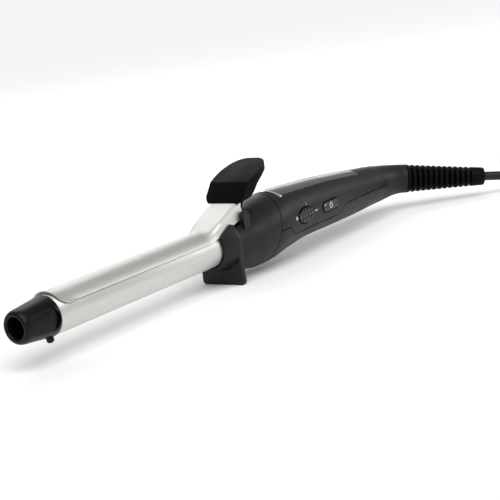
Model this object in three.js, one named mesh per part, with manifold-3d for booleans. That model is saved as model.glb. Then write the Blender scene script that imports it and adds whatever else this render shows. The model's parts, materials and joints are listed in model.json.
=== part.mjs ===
// Curling iron: a spring-loaded clamp on a heated barrel, a handle with two keys, a swivelling cord.
//
// The barrel's axis is X, with the cool tip towards -X and the cord towards +X. The clamp is on top (+Z)
// and the keys are on the -Y side. Lengths are millimetres. X is measured from just behind the stand
// collar's front edge and Z from the barrel's axis; the last lines move the whole iron so that it stands
// on Z = 0.
import * as THREE from "three";
import { mergeVertices } from "three/addons/utils/BufferGeometryUtils.js";
import Module from "manifold-3d";

const wasm = await Module();
wasm.setup();

// ---------------------------------------------------------------- driving dimensions
const GAP = 0.3; // clearance kept between neighbouring pieces

const BARREL_R = 9.5;
const BARREL_WALL = 0.8;
const BARREL_FRONT = -117.2;
const BARREL_BACK = 12.5;

const TIP_LENGTH = 20;
const TIP_REAR_R = 9.75;
const TIP_FRONT_R = 8.1;
const TIP_BORE_R = 5;
const TIP_BORE_DEPTH = 11;
const FLAT_FRONT_Y = 6.6; // half the width left between the two finger flats, at the front
const FLAT_REAR_Y = 8;

const CLAMP_IN_R = 9.85;
const CLAMP_OUT_R = 10.55;
const CLAMP_HALF_ANGLE = 62.3;
const CLAMP_FRONT = -116.1;
const CLAMP_CORNER_R = 6;
const TONGUE_START = -3.5; // where the clamp's top leaves the barrel
const TONGUE_SLOPE = 23.5; // degrees
const TONGUE_END = 21.5; // inside the paddle
const FLANGE_OUT_Y = 9;
const FLANGE_THICK = 0.7;

const PIN_X = 19.6;
const PIN_Z = 12.1;
const PIN_R = 1.1;
const LUG_R = 2.6;

const STAND_DROP = 20.8; // from the barrel's axis to the table
const COLLAR_FRONT = -0.8;
const COLLAR_LENGTH = 7.8;
const COLLAR_FRONT_R = 10.9;
const COLLAR_BACK_R = 13.6;
const COLLAR_RISE = 1.15; // the collar's upper half is this much taller than round
const PLATE_THICK = 3;
const PLATE_R = 13.7;
const FOOT_HALF_WIDTH = 13.2;

const SEAM_X = 41.4; // nose to handle, on the barrel's axis
const SEAM_LEAN = 0.345; // X gained for each millimetre up
const TAIL_SEAM_X = 155.7;
const TAIL_SEAM_LEAN = 0.2;
const WALL = 2.2;

const RELIEF_BASE = new THREE.Vector3(177.4, -9, -3.1);
const RELIEF_TIP = new THREE.Vector3(210.5, -42.5, -9.4);
const RELIEF_BASE_R = 8.3;
const RELIEF_TIP_R = 5.2;
const RELIEF_RIBS = 12;
const NOTCH_DEPTH = 2.4; // between the ribs

const CORD_D = 5.2;

// ---------------------------------------------------------------- materials
const finish = (color, roughness, metalness = 0) =>
  new THREE.MeshStandardMaterial({ color, roughness, metalness });
const SATIN_METAL = finish(0xb9b8b2, 0.32, 1);
const SOFT_BLACK = finish(0x1c1c1d, 0.5);
const MATTE_BLACK = finish(0x0c0d0d, 0.6);
const GLOSS_BLACK = finish(0x141416, 0.15);
const CHROME = finish(0xe8e8ea, 0.08, 1);
const STEEL = finish(0x9a9c9e, 0.35, 1);
const ALUMINIUM = finish(0xa9acae, 0.45, 1);
const CERAMIC = finish(0xe4e0d6, 0.6);
const BRASS = finish(0xc0a050, 0.3, 1);
const NYLON = finish(0xd8d4c8, 0.5);
const BOARD_GREEN = finish(0x1f5a38, 0.55);
const RUBBER_BLACK = finish(0x0a0a0a, 0.7);
const CORD_BLACK = finish(0x0d0d0d, 0.4);
const RED_WIRE = finish(0x8c1f1c, 0.5);
const BLUE_WIRE = finish(0x1f3c8c, 0.5);

// ---------------------------------------------------------------- solids
const radians = (degrees) => (degrees * Math.PI) / 180;

/** A closed geometry as a Manifold, with its shared corners merged. */
function solid(geometry) {
  const bare = geometry.clone();
  for (const name of Object.keys(bare.attributes)) {
    if (name !== "position") bare.deleteAttribute(name);
  }
  const merged = mergeVertices(bare, 1e-4);
  const corners = merged.index.array;
  const kept = [];
  for (let i = 0; i < corners.length; i += 3) {
    const [a, b, c] = corners.slice(i, i + 3);
    if (a !== b && b !== c && c !== a) kept.push(a, b, c);
  }
  const mesh = { numProp: 3, vertProperties: new Float32Array(merged.attributes.position.array) };
  const made = new wasm.Manifold(new wasm.Mesh({ ...mesh, triVerts: new Uint32Array(kept) }));
  if (made.volume() >= 0) return made;
  const turned = [];
  for (let i = 0; i < kept.length; i += 3) turned.push(kept[i], kept[i + 2], kept[i + 1]);
  return new wasm.Manifold(new wasm.Mesh({ ...mesh, triVerts: new Uint32Array(turned) }));
}

/** A Manifold as a three.js geometry. */
function shown(made) {
  const { vertProperties, triVerts } = made.getMesh();
  const geometry = new THREE.BufferGeometry();
  geometry.setAttribute("position", new THREE.BufferAttribute(new Float32Array(vertProperties), 3));
  geometry.setIndex(new THREE.BufferAttribute(new Uint32Array(triVerts), 1));
  const flat = geometry.toNonIndexed();
  flat.computeVertexNormals();
  return flat;
}

const join = (first, ...others) => others.reduce((all, next) => all.add(next), first);
const cut = (first, ...others) => others.reduce((rest, next) => rest.subtract(next), first);
const meet = (first, ...others) => others.reduce((rest, next) => rest.intersect(next), first);

const outline = (points) => new THREE.Shape(points.map(([x, y]) => new THREE.Vector2(x, y)));

/** An outline drawn in X and Z, as thick as the given stretch of Y. */
function slab(shape, yLow, yHigh, curveSegments = 8) {
  const options = { depth: yHigh - yLow, bevelEnabled: false, curveSegments };
  const geometry = new THREE.ExtrudeGeometry(shape, options);
  geometry.rotateX(Math.PI / 2);
  geometry.translate(0, yHigh, 0);
  return solid(geometry);
}

/** An outline drawn in X and Y, as high as the given stretch of Z. */
function prism(shape, zLow, zHigh, curveSegments = 8) {
  const options = { depth: zHigh - zLow, bevelEnabled: false, curveSegments };
  const geometry = new THREE.ExtrudeGeometry(shape, options);
  geometry.translate(0, 0, zLow);
  return solid(geometry);
}

/** An outline drawn in Y and Z, as long as the given stretch of X. */
function bar(shape, xLow, xHigh, curveSegments = 8) {
  const options = { depth: xHigh - xLow, bevelEnabled: false, curveSegments };
  const geometry = new THREE.ExtrudeGeometry(shape, options);
  const toX = new THREE.Matrix4().makeBasis(
    new THREE.Vector3(0, 1, 0),
    new THREE.Vector3(0, 0, 1),
    new THREE.Vector3(1, 0, 0),
  );
  geometry.applyMatrix4(toX);
  geometry.translate(xLow, 0, 0);
  return solid(geometry);
}

function box(low, high) {
  const size = high.map((value, axis) => value - low[axis]);
  const geometry = new THREE.BoxGeometry(...size);
  geometry.translate(...low.map((value, axis) => value + size[axis] / 2));
  return solid(geometry);
}

/** A profile of [radius, x] pairs turned about the X axis. */
function turned(profile, segments = 32) {
  const points = profile.map(([radius, x]) => new THREE.Vector2(radius, x));
  const geometry = new THREE.LatheGeometry(points, segments);
  const toX = new THREE.Matrix4().makeBasis(
    new THREE.Vector3(0, 1, 0),
    new THREE.Vector3(1, 0, 0),
    new THREE.Vector3(0, 0, -1),
  );
  geometry.applyMatrix4(toX);
  return solid(geometry);
}

const rod = (radius, xLow, xHigh, segments = 24) =>
  turned([[0, xLow], [radius, xLow], [radius, xHigh], [0, xHigh]], segments);

const pipe = (inner, outer, xLow, xHigh, segments = 32) =>
  turned([[inner, xLow], [outer, xLow], [outer, xHigh], [inner, xHigh], [inner, xLow]], segments);

/** A rod along Y through [x, z]. */
function crossRod(x, z, radius, yLow, yHigh, segments = 20) {
  const shape = new THREE.Shape().absarc(x, z, radius, 0, 2 * Math.PI);
  return slab(shape, yLow, yHigh, segments);
}

/** A round section pushed along a curve. */
function swept(curve, radius, steps, sides = 8) {
  const section = new THREE.Shape().absarc(0, 0, radius, 0, 2 * Math.PI);
  const options = { steps, extrudePath: curve, bevelEnabled: false, curveSegments: sides / 2 };
  return solid(new THREE.ExtrudeGeometry(section, options));
}

/** An outline with all its corners rounded to one radius. */
function rounded(xLow, xHigh, yLow, yHigh, radius) {
  const shape = new THREE.Shape();
  shape.absarc(xHigh - radius, yHigh - radius, radius, 0, Math.PI / 2);
  shape.absarc(xLow + radius, yHigh - radius, radius, Math.PI / 2, Math.PI);
  shape.absarc(xLow + radius, yLow + radius, radius, Math.PI, 1.5 * Math.PI);
  shape.absarc(xHigh - radius, yLow + radius, radius, 1.5 * Math.PI, 2 * Math.PI);
  shape.closePath();
  return shape;
}

/** Adds a named piece to the iron. */
function add(name, made, material) {
  const geometry = made instanceof THREE.BufferGeometry ? made : shown(made);
  const mesh = new THREE.Mesh(geometry, material);
  mesh.name = name;
  iron.add(mesh);
}

const iron = new THREE.Group();

// ---------------------------------------------------------------- the grip's outer form
// Each station is [x, top, bottom, half width]. The nose swells from the stand plate to the seam, and
// the handle tapers from there to the tail.
const STATIONS = [
  [10.5, 10.8, -13.4, 12.9],
  [20, 12.4, -15.9, 14.2],
  [30, 14.4, -17.8, 15.3],
  [43, 16.9, -17.4, 16.2],
  [55, 17.9, -15.4, 16.1],
  [75, 17.1, -13.4, 14.9],
  [100, 15.4, -13.3, 14],
  [125, 12.8, -13.2, 12.7],
  [150, 9.9, -12.5, 10.9],
  [160, 8.7, -12.4, 10.2],
];
const stationCurve = (column) =>
  new THREE.SplineCurve(STATIONS.map((station) => new THREE.Vector2(station[0], station[column])));
const GRIP_CURVES = [1, 2, 3].map(stationCurve);

/** The grip's top, bottom and half width at an X, on smooth curves through the stations. */
function gripAt(x) {
  const last = STATIONS.length - 1;
  let index = STATIONS.findIndex((station) => station[0] >= x);
  if (index < 1) index = index === 0 ? 1 : last;
  const before = STATIONS[index - 1][0];
  const share = (x - before) / (STATIONS[index][0] - before);
  const t = THREE.MathUtils.clamp((index - 1 + share) / last, 0, 1);
  const [top, bottom, halfWidth] = GRIP_CURVES.map((curve) => curve.getPoint(t).y);
  return { middle: (top + bottom) / 2, halfHeight: (top - bottom) / 2, halfWidth };
}

/** The grip's form between two X, made thinner all round by an inset: a cylinder warped to the stations. */
function grip(xLow, xHigh, inset, along, around = 32) {
  const geometry = new THREE.CylinderGeometry(1, 1, 1, around, along);
  const position = geometry.attributes.position;
  for (let i = 0; i < position.count; i += 1) {
    const x = xLow + (position.getY(i) + 0.5) * (xHigh - xLow);
    const { middle, halfHeight, halfWidth } = gripAt(x);
    const y = -position.getX(i) * (halfWidth - inset);
    const z = middle + position.getZ(i) * (halfHeight - inset);
    position.setXYZ(i, x, y, z);
  }
  return solid(geometry);
}

/** Everything behind a leaning plane across the barrel, cut off at the given X. */
const behind = (x, lean, xHigh = 260) =>
  slab(outline([[x - 40 * lean, -40], [xHigh, -40], [xHigh, 40], [x + 40 * lean, 40]]), -40, 40);
const inFrontOf = (x, lean, xLow = -20) =>
  slab(outline([[xLow, -40], [x - 40 * lean, -40], [x + 40 * lean, 40], [xLow, 40]]), -40, 40);

// ---------------------------------------------------------------- barrel and heater
function makeBarrel() {
  const inner = BARREL_R - BARREL_WALL;
  add("barrel_tube", pipe(inner, BARREL_R, BARREL_FRONT, BARREL_BACK, 48), SATIN_METAL);

  // Two half-round aluminium bars press a flat ceramic heating plate between them.
  const half = (side) => {
    const barR = inner - GAP;
    const shape = new THREE.Shape().absarc(0, 0, barR, radians(16), radians(164));
    shape.closePath();
    const made = bar(shape, -104, 2, 12);
    return side > 0 ? made : made.rotate([180, 0, 0]);
  };
  add("heat_spreader_upper", half(1), ALUMINIUM);
  add("heat_spreader_lower", half(-1), ALUMINIUM);
  add("heating_plate", box([-90, -6, -1.2], [-12, 6, 1.2]), CERAMIC);
  add("temperature_sensor", box([-8, -1.6, -1], [-2, 1.6, 1]), BRASS);
  add("barrel_insulator", pipe(4, inner - GAP, 4, BARREL_BACK, 24), CERAMIC);
}

// ---------------------------------------------------------------- cool tip
function makeTip() {
  const rear = BARREL_FRONT - GAP;
  const front = BARREL_FRONT - TIP_LENGTH;
  const spigot = BARREL_R - BARREL_WALL - GAP;
  const boreEnd = front + TIP_BORE_DEPTH;
  const body = turned([
    [TIP_BORE_R, front + 0.9],
    [TIP_BORE_R + 0.7, front + 0.2],
    [TIP_BORE_R + 1.3, front],
    [TIP_FRONT_R - 1, front + 0.5],
    [TIP_FRONT_R - 0.5, front + 1.3],
    [TIP_FRONT_R - 0.2, front + 2.6],
    [TIP_FRONT_R, front + 4.4],
    [TIP_REAR_R - 0.5, rear - 4.5],
    [TIP_REAR_R, rear - 0.8],
    [TIP_REAR_R - 0.2, rear],
    [spigot, rear],
    [spigot, rear + 9],
    [1.9, rear + 9],
    [1.9, boreEnd],
    [TIP_BORE_R, boreEnd],
    [TIP_BORE_R, front + 0.9],
  ], 32);
  const dee = new THREE.Shape();
  dee.moveTo(front + 3.4, -4.8);
  dee.absarc(rear - 6.1, 0, 5.8, -Math.PI / 2, Math.PI / 2);
  dee.lineTo(front + 3.4, 4.8);
  dee.closePath();
  const slant = outline([[front, FLAT_FRONT_Y], [rear, FLAT_REAR_Y], [rear, 20], [front, 20]]);
  const flat = meet(slab(dee, 0, 20), prism(slant, -20, 20));
  const flats = [flat, flat.mirror([0, 1, 0])];
  const nub = turned([[0, 0], [1.5, 0], [1.5, 3.2], [1.1, 3.9], [0, 4.1]], 16)
    .rotate([0, 90, 0])
    .translate([rear - 2.3, 0, -TIP_REAR_R + 2.3]);
  add("cool_tip", join(cut(body, ...flats), nub), MATTE_BLACK);

  const head = rod(3, boreEnd - 1.9, boreEnd - GAP, 20);
  const shank = rod(1.5, boreEnd - GAP - 0.01, rear + 8, 16);
  const slots = [box([boreEnd - 2.5, -0.4, -2], [boreEnd - 1.2, 0.4, 2])];
  slots.push(box([boreEnd - 2.5, -2, -0.4], [boreEnd - 1.2, 2, 0.4]));
  add("tip_screw", cut(join(head, shank), ...slots), STEEL);
}

// ---------------------------------------------------------------- clamp lever
const TONGUE_RISE = Math.tan(radians(TONGUE_SLOPE));
const tongueZ = (x) => CLAMP_OUT_R + (x - TONGUE_START) * TONGUE_RISE;
const WEB_DEPTH = FLANGE_THICK / Math.cos(radians(TONGUE_SLOPE)); // the sheet's thickness along Z
const FLANGE_IN_Y = FLANGE_OUT_Y - FLANGE_THICK;
const CLAMP_EDGE_Z = CLAMP_OUT_R * Math.cos(radians(CLAMP_HALF_ANGLE));

function makeClamp() {
  // The spoon is a strip of tube with round front corners and straight side edges.
  const spoonEnd = TONGUE_START + 2;
  const side = new THREE.Shape();
  side.moveTo(CLAMP_FRONT, 20);
  side.lineTo(CLAMP_FRONT, CLAMP_OUT_R - 1);
  const cornerEnd = CLAMP_FRONT + CLAMP_CORNER_R;
  side.bezierCurveTo(CLAMP_FRONT + 0.3, 7, CLAMP_FRONT + 2, CLAMP_EDGE_Z, cornerEnd, CLAMP_EDGE_Z);
  side.lineTo(spoonEnd, CLAMP_EDGE_Z);
  side.lineTo(spoonEnd, 20);
  side.closePath();
  const strip = pipe(CLAMP_IN_R, CLAMP_OUT_R, CLAMP_FRONT, spoonEnd, 64);
  const spoon = meet(strip, slab(side, -15, 15));

  // The tongue slopes up between two folded side flanges that reach back to the pin.
  const start = TONGUE_START;
  const web = slab(
    outline([
      [start, tongueZ(start) - WEB_DEPTH],
      [TONGUE_END, tongueZ(TONGUE_END) - WEB_DEPTH],
      [TONGUE_END, tongueZ(TONGUE_END)],
      [start, tongueZ(start)],
    ]),
    -FLANGE_OUT_Y,
    FLANGE_OUT_Y,
  );
  const cheek = new THREE.Shape();
  cheek.moveTo(start, CLAMP_EDGE_Z);
  cheek.quadraticCurveTo(6, 6.4, PIN_X - 2.1, PIN_Z - 1.2);
  cheek.absarc(PIN_X, PIN_Z, 2.4, radians(215), radians(80));
  cheek.lineTo(PIN_X - 0.6, PIN_Z + 6.4);
  cheek.lineTo(PIN_X - 0.6, tongueZ(PIN_X - 0.6) - 0.2);
  cheek.lineTo(start, tongueZ(start) - 0.2);
  cheek.closePath();
  const flanges = [slab(cheek, -FLANGE_OUT_Y, -FLANGE_IN_Y), slab(cheek, FLANGE_IN_Y, FLANGE_OUT_Y)];
  const screwHoles = PADDLE_SCREW_Y.map((y) => paddleScrew(SCREW_R + GAP, SCREW_R + GAP, y));
  const pinHole = crossRod(PIN_X, PIN_Z, PIN_R + GAP, -20, 20);
  const barrelRoom = rod(CLAMP_IN_R, start - 5, 20, 64);
  const made = cut(join(spoon, web, ...flanges), pinHole, barrelRoom, ...screwHoles);
  add("clamp", made, SATIN_METAL);
}

// The paddle in side view: a steep lower pad, a crease, then a flatter upper pad.
const PADDLE_FOOT = [16.4, 18.9];
const PADDLE_CREASE = [24.2, 29];
const PADDLE_END = [47, 36.9];
const PADDLE_UNDERSIDE = [[46.4, 33.9], [31, 26.4], [25.5, 19.6]];
const PADDLE_HALF_WIDTH = 12.8;
const PADDLE_SCREW_Y = [-4.6, 4.6];
const SCREW_R = 0.9;
const SCREW_X = 19.5;

/** A screw up through the paddle's block and the tongue, square to the sheet. */
function paddleScrew(shankR, headR, y) {
  const made = turned([[0, -5], [headR, -5], [headR, -3.4], [shankR, -3.4], [shankR, 0.7], [0, 0.7]], 14);
  return made.rotate([0, -90 - TONGUE_SLOPE, 0]).translate([SCREW_X, y, tongueZ(SCREW_X)]);
}

function makePaddle() {
  const profile = outline([PADDLE_FOOT, ...PADDLE_UNDERSIDE.toReversed(), PADDLE_END, PADDLE_CREASE]);
  // Seen from above it is a leaf with round corners at its foot, widest past the crease.
  const far = PADDLE_END[0] + 0.3;
  const leaf = new THREE.Shape();
  leaf.moveTo(16.2, -7.4);
  leaf.bezierCurveTo(16.6, -9.6, 17.8, -10.5, 19.6, -11.2);
  leaf.bezierCurveTo(22, -12.1, 25, -PADDLE_HALF_WIDTH, 29, -PADDLE_HALF_WIDTH);
  leaf.bezierCurveTo(41, -PADDLE_HALF_WIDTH, far, -9.5, far, 0);
  leaf.bezierCurveTo(far, 9.5, 41, PADDLE_HALF_WIDTH, 29, PADDLE_HALF_WIDTH);
  leaf.bezierCurveTo(25, PADDLE_HALF_WIDTH, 22, 12.1, 19.6, 11.2);
  leaf.bezierCurveTo(17.8, 10.5, 16.6, 9.6, 16.2, 7.4);
  leaf.closePath();
  const pad = meet(slab(profile, -14, 14), prism(leaf, 10, 45, 7));

  // A block below it fills the tongue between the flanges, down to the hinge pin.
  const depth = WEB_DEPTH + GAP;
  const block = new THREE.Shape();
  block.moveTo(8, tongueZ(8) - depth);
  block.lineTo(10, 11.4);
  block.lineTo(PIN_X - 2.1, PIN_Z - 1.4);
  block.absarc(PIN_X, PIN_Z, 2.5, radians(214), radians(0));
  block.lineTo(PIN_X + 2.5, 17);
  block.lineTo(24.6, 20.8);
  block.lineTo(24.6, tongueZ(24.6) - depth);
  block.closePath();
  const core = slab(block, -(FLANGE_IN_Y - GAP), FLANGE_IN_Y - GAP);

  const sheet = outline([
    [0, tongueZ(0) - depth],
    [TONGUE_END + GAP, tongueZ(TONGUE_END + GAP) - depth],
    [TONGUE_END + GAP, tongueZ(TONGUE_END + GAP) + GAP],
    [0, tongueZ(0) + GAP],
  ]);
  const flangeTop = outline([[0, 0], [PIN_X, 0], [PIN_X, tongueZ(PIN_X)], [0, tongueZ(0)]]);
  const flangeRoom = [
    slab(flangeTop, -20, -(FLANGE_IN_Y - GAP)),
    slab(flangeTop, FLANGE_IN_Y - GAP, 20),
  ];
  const springRoom = box([6, -SPRING_HALF_Y - GAP, 5], [30, SPRING_HALF_Y + GAP, PIN_Z + 3.4]);
  const pinHole = crossRod(PIN_X, PIN_Z, PIN_R + GAP, -20, 20);
  const screwRoom = PADDLE_SCREW_Y.map((y) => paddleScrew(SCREW_R + GAP, 2.1 + GAP, y));
  const headRoom = PADDLE_SCREW_Y.map((y) =>
    turned([[0, -12], [2.4, -12], [2.4, -3.4], [0, -3.4]], 14)
      .rotate([0, -90 - TONGUE_SLOPE, 0])
      .translate([SCREW_X, y, tongueZ(SCREW_X)]),
  );
  const room = [slab(sheet, -20, 20), ...flangeRoom, springRoom, pinHole, ...screwRoom, ...headRoom];
  add("thumb_paddle", cut(join(pad, core), ...room), MATTE_BLACK);
  PADDLE_SCREW_Y.forEach((y, index) => {
    add(`paddle_screw_${index + 1}`, paddleScrew(SCREW_R, 2.1, y), STEEL);
  });
}

const SPRING_HALF_Y = 3;

function makeHinge() {
  const shank = crossRod(PIN_X, PIN_Z, PIN_R, GAP - PIN_BLIND_Y, NOSE_CHEEK_OUT_Y);
  add("hinge_pin", shank, STEEL);

  // A torsion spring: coils about the pin, one leg under the tongue, one down into the nose.
  const coilR = 2.1;
  const coils = 4;
  const perCoil = 10;
  const steps = coils * perCoil + perCoil / 2;
  const halfY = SPRING_HALF_Y - 0.8;
  const points = [new THREE.Vector3(PIN_X - 8, -halfY, PIN_Z + coilR + 0.4)];
  for (let i = 0; i <= steps; i += 1) {
    const angle = Math.PI / 2 + (i / perCoil) * 2 * Math.PI;
    const y = -halfY + (2 * halfY * i) / steps;
    points.push(new THREE.Vector3(PIN_X - coilR * Math.cos(angle), y, PIN_Z + coilR * Math.sin(angle)));
  }
  points.push(new THREE.Vector3(PIN_X + 6, halfY, PIN_Z - coilR - 3));
  const curve = new THREE.CatmullRomCurve3(points, false, "centripetal");
  add("torsion_spring", swept(curve, 0.35, 72, 6), STEEL);
}

// ---------------------------------------------------------------- stand and nose
const NOSE_FRONT = COLLAR_LENGTH + PLATE_THICK + GAP;
const NOSE_CHEEK_IN_Y = FLANGE_OUT_Y + GAP;
const NOSE_CHEEK_OUT_Y = 11.6;
const PIN_BLIND_Y = 10.8; // the pin's hole ends inside the cheek on the -Y side
const CHANNEL_BACK = 24.6;
const CHANNEL_FLOOR = 5.6;

/** The collar's outer form: a cone whose upper half is taller than round. */
function makeCollarCone() {
  const length = COLLAR_LENGTH + 0.5 - COLLAR_FRONT;
  const geometry = new THREE.CylinderGeometry(COLLAR_BACK_R, COLLAR_FRONT_R, length, 48, 1);
  const position = geometry.attributes.position;
  for (let i = 0; i < position.count; i += 1) {
    const rise = position.getZ(i) > 0 ? COLLAR_RISE : 1;
    const x = COLLAR_FRONT + length / 2 + position.getY(i);
    position.setXYZ(i, x, -position.getX(i), position.getZ(i) * rise);
  }
  return solid(geometry);
}

function makeStand() {
  const collar = makeCollarCone();
  // The plate is a disc about the barrel that widens into a foot.
  const footR = 2;
  const face = new THREE.Shape();
  face.absarc(0, 0, PLATE_R, radians(-24), radians(204));
  face.lineTo(-FOOT_HALF_WIDTH, -STAND_DROP + footR);
  face.absarc(-FOOT_HALF_WIDTH + footR, -STAND_DROP + footR, footR, Math.PI, 1.5 * Math.PI);
  face.absarc(FOOT_HALF_WIDTH - footR, -STAND_DROP + footR, footR, 1.5 * Math.PI, 2 * Math.PI);
  face.closePath();
  const plate = bar(face, COLLAR_LENGTH, COLLAR_LENGTH + PLATE_THICK, 16);
  const bore = join(rod(BARREL_R + GAP, -5, 20, 48), rod(COLLAR_FRONT_R - 0.6, -5, 3.6, 48));
  // Open at the top, the collar ends in two pointed ears beside the tongue.
  const earLine = outline([[-3, 5.6], [COLLAR_LENGTH + 1.2, 11.1], [14, 11.1], [14, 30], [-3, 30]]);
  const channel = slab(
    outline([[-3, CHANNEL_FLOOR - 1.2], [3, CHANNEL_FLOOR - 0.2], [14, CHANNEL_FLOOR], [14, 30], [-3, 30]]),
    -NOSE_CHEEK_IN_Y,
    NOSE_CHEEK_IN_Y,
  );
  add("stand_collar", cut(join(collar, plate), bore, slab(earLine, -20, 20), channel), SOFT_BLACK);
}

function makeNose() {
  const form = meet(grip(NOSE_FRONT - 0.5, 52, 0, 7), behind(NOSE_FRONT, 0), inFrontOf(SEAM_X, SEAM_LEAN));
  const cavity = meet(grip(NOSE_FRONT - 0.5, 56, WALL, 5, 24), behind(NOSE_FRONT + 2.6, 0));
  const cheek = outline([
    [NOSE_FRONT, 0],
    [NOSE_FRONT, 9.8],
    [PIN_X - 3.4, 11.6],
    [CHANNEL_BACK + 1.5, 14],
    [CHANNEL_BACK + 4, 0],
  ]);
  const sides = [
    [-NOSE_CHEEK_OUT_Y, -NOSE_CHEEK_IN_Y],
    [NOSE_CHEEK_IN_Y, NOSE_CHEEK_OUT_Y],
  ].flatMap(([low, high]) => [slab(cheek, low, high), crossRod(PIN_X, PIN_Z, LUG_R, low, high, 24)]);
  const channel = slab(
    outline([
      [0, CHANNEL_FLOOR],
      [PIN_X - 3, PIN_Z - 3.6],
      [PIN_X, PIN_Z - 3],
      [CHANNEL_BACK, PIN_Z - 3],
      [CHANNEL_BACK, 40],
      [0, 40],
    ]),
    -NOSE_CHEEK_IN_Y,
    NOSE_CHEEK_IN_Y,
  );
  const paddleRoom = slab(
    outline([[CHANNEL_BACK - 1, 9], [CHANNEL_BACK + 2.2, 13], [CHANNEL_BACK + 2.2, 40], [0, 40], [0, 15]]),
    -NOSE_CHEEK_IN_Y,
    NOSE_CHEEK_IN_Y,
  );
  const bore = rod(BARREL_R + GAP, 0, BARREL_BACK + GAP, 48);
  const wire = rod(4, 0, 20, 24);
  const pinHole = crossRod(PIN_X, PIN_Z, PIN_R + GAP, -PIN_BLIND_Y, 20);
  const made = cut(join(cut(form, cavity), ...sides), channel, paddleRoom, bore, wire, pinHole);
  add("nose_cone", made, SOFT_BLACK);
}

// ---------------------------------------------------------------- handle
// The line where the two shells meet steps down below the keys and comes back up behind them.
const PARTING = [
  [30, -0.8], [49.5, -0.8], [55, -5.8], [99, -5.8], [102.5, -4.8], [106.6, -1.2], [134, -1.2], [170, -2.4],
];
const PANEL_FRONT = 53.2;
const PANEL_BACK = 132;
const PANEL_HALF_FRONT = 8.9;
const PANEL_HALF_BACK = 7.1;
const KEY_Y = -16.6; // outside every key's crown
const ROCKER = { x: 65.6, z: 1.8, halfLength: 7.3, halfHeight: 3.9 };
const POWER_KEY = { xLow: 83.2, xHigh: 98, zLow: -1.1, zHigh: 3.8, corner: 1.8 };

const above = () => slab(outline([...PARTING, [170, 40], [30, 40]]), -40, 40);
const below = (drop) =>
  slab(outline([...PARTING.map(([x, z]) => [x, z - drop]), [170, -40], [30, -40]].toReversed()), -40, 40);

/** The glossy panel's plan outline, grown by a margin. */
function panelPlan(margin) {
  return outline([
    [PANEL_FRONT + 1.8 - margin, -PANEL_HALF_FRONT - margin],
    [PANEL_BACK + margin, -PANEL_HALF_BACK - margin],
    [PANEL_BACK + margin, PANEL_HALF_BACK + margin],
    [PANEL_FRONT + 1.8 - margin, PANEL_HALF_FRONT + margin],
    [PANEL_FRONT + 0.5 - margin, 4.6 + margin / 2],
    [PANEL_FRONT + 0.5 - margin, -4.6 - margin / 2],
  ]);
}

/** The chrome arc's plan outline, grown by a margin. */
function trimPlan(margin) {
  const front = PANEL_FRONT - 2.6;
  const width = 1.6;
  return outline([
    [front + 2 - margin, -9.6 - margin],
    [front + 2.2 + width + margin, -9.6 - margin],
    [front + 0.5 + width + margin, -4.6],
    [front + 0.5 + width + margin, 4.6],
    [front + 2.2 + width + margin, 9.6 + margin],
    [front + 2 - margin, 9.6 + margin],
    [front + 0.3 - margin, 4.6],
    [front + 0.3 - margin, -4.6],
  ]);
}

function rockerOutline(margin) {
  const { x, z, halfLength, halfHeight } = ROCKER;
  return new THREE.Shape().absellipse(x, z, halfLength + margin, halfHeight + margin, 0, 2 * Math.PI);
}

function powerKeyOutline(margin) {
  const { xLow, xHigh, zLow, zHigh, corner } = POWER_KEY;
  return rounded(xLow - margin, xHigh + margin, zLow - margin, zHigh + margin, corner + margin);
}

function makeHandle() {
  const form = (inset) => grip(36, TAIL_SEAM_X + 8, inset, 12);
  const hollow = grip(36, TAIL_SEAM_X + 8, WALL, 8, 20);
  const ends = () =>
    meet(behind(SEAM_X + GAP, SEAM_LEAN, 200), inFrontOf(TAIL_SEAM_X, TAIL_SEAM_LEAN, 20));
  const wall = cut(meet(form(0), ends()), hollow);
  const upperHalf = meet(wall, above());
  const panelBed = cut(prism(panelPlan(GAP), 4, 25), form(1.6));
  const trimBed = cut(prism(trimPlan(GAP), 8, 25), form(1.3));
  const rockerHole = slab(rockerOutline(GAP), -20, -8, 14);
  const keyHole = slab(powerKeyOutline(GAP), -20, -8, 5);
  add("upper_shell", cut(upperHalf, panelBed, trimBed, rockerHole, keyHole), SOFT_BLACK);

  const bosses = [70, 138].map((x) => {
    const boss = turned([[1.6, 0], [3.2, 0], [3.2, 12], [1.6, 12], [1.6, 0]], 16);
    return boss.rotate([0, -90, 0]).translate([x, 0, -13]);
  });
  const lowerHalf = meet(wall, below(GAP));
  const posts = bosses.map((boss) => meet(boss, form(0.2), below(2)));
  const wells = [70, 138].map((x) => rod(2.6, -4, 3.2, 16).rotate([0, -90, 0]).translate([x, 0, -13]));
  add("lower_shell", cut(join(lowerHalf, ...posts), ...wells), SOFT_BLACK);
  [70, 138].forEach((x, index) => {
    const screw = turned([[0, 0], [2.3, 0], [2.3, 1], [1.3, 1.6], [1.3, 9], [0, 9.6]], 16);
    add(`shell_screw_${index + 1}`, screw.rotate([0, -90, 0]).translate([x, 0, -11.2]), STEEL);
  });

  const panel = cut(meet(form(0), prism(panelPlan(0), 4, 25)), form(1.3));
  add("top_panel", panel, GLOSS_BLACK);
  add("chrome_arc", cut(meet(form(-0.25), prism(trimPlan(0), 8, 25)), form(1)), CHROME);
}

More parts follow.
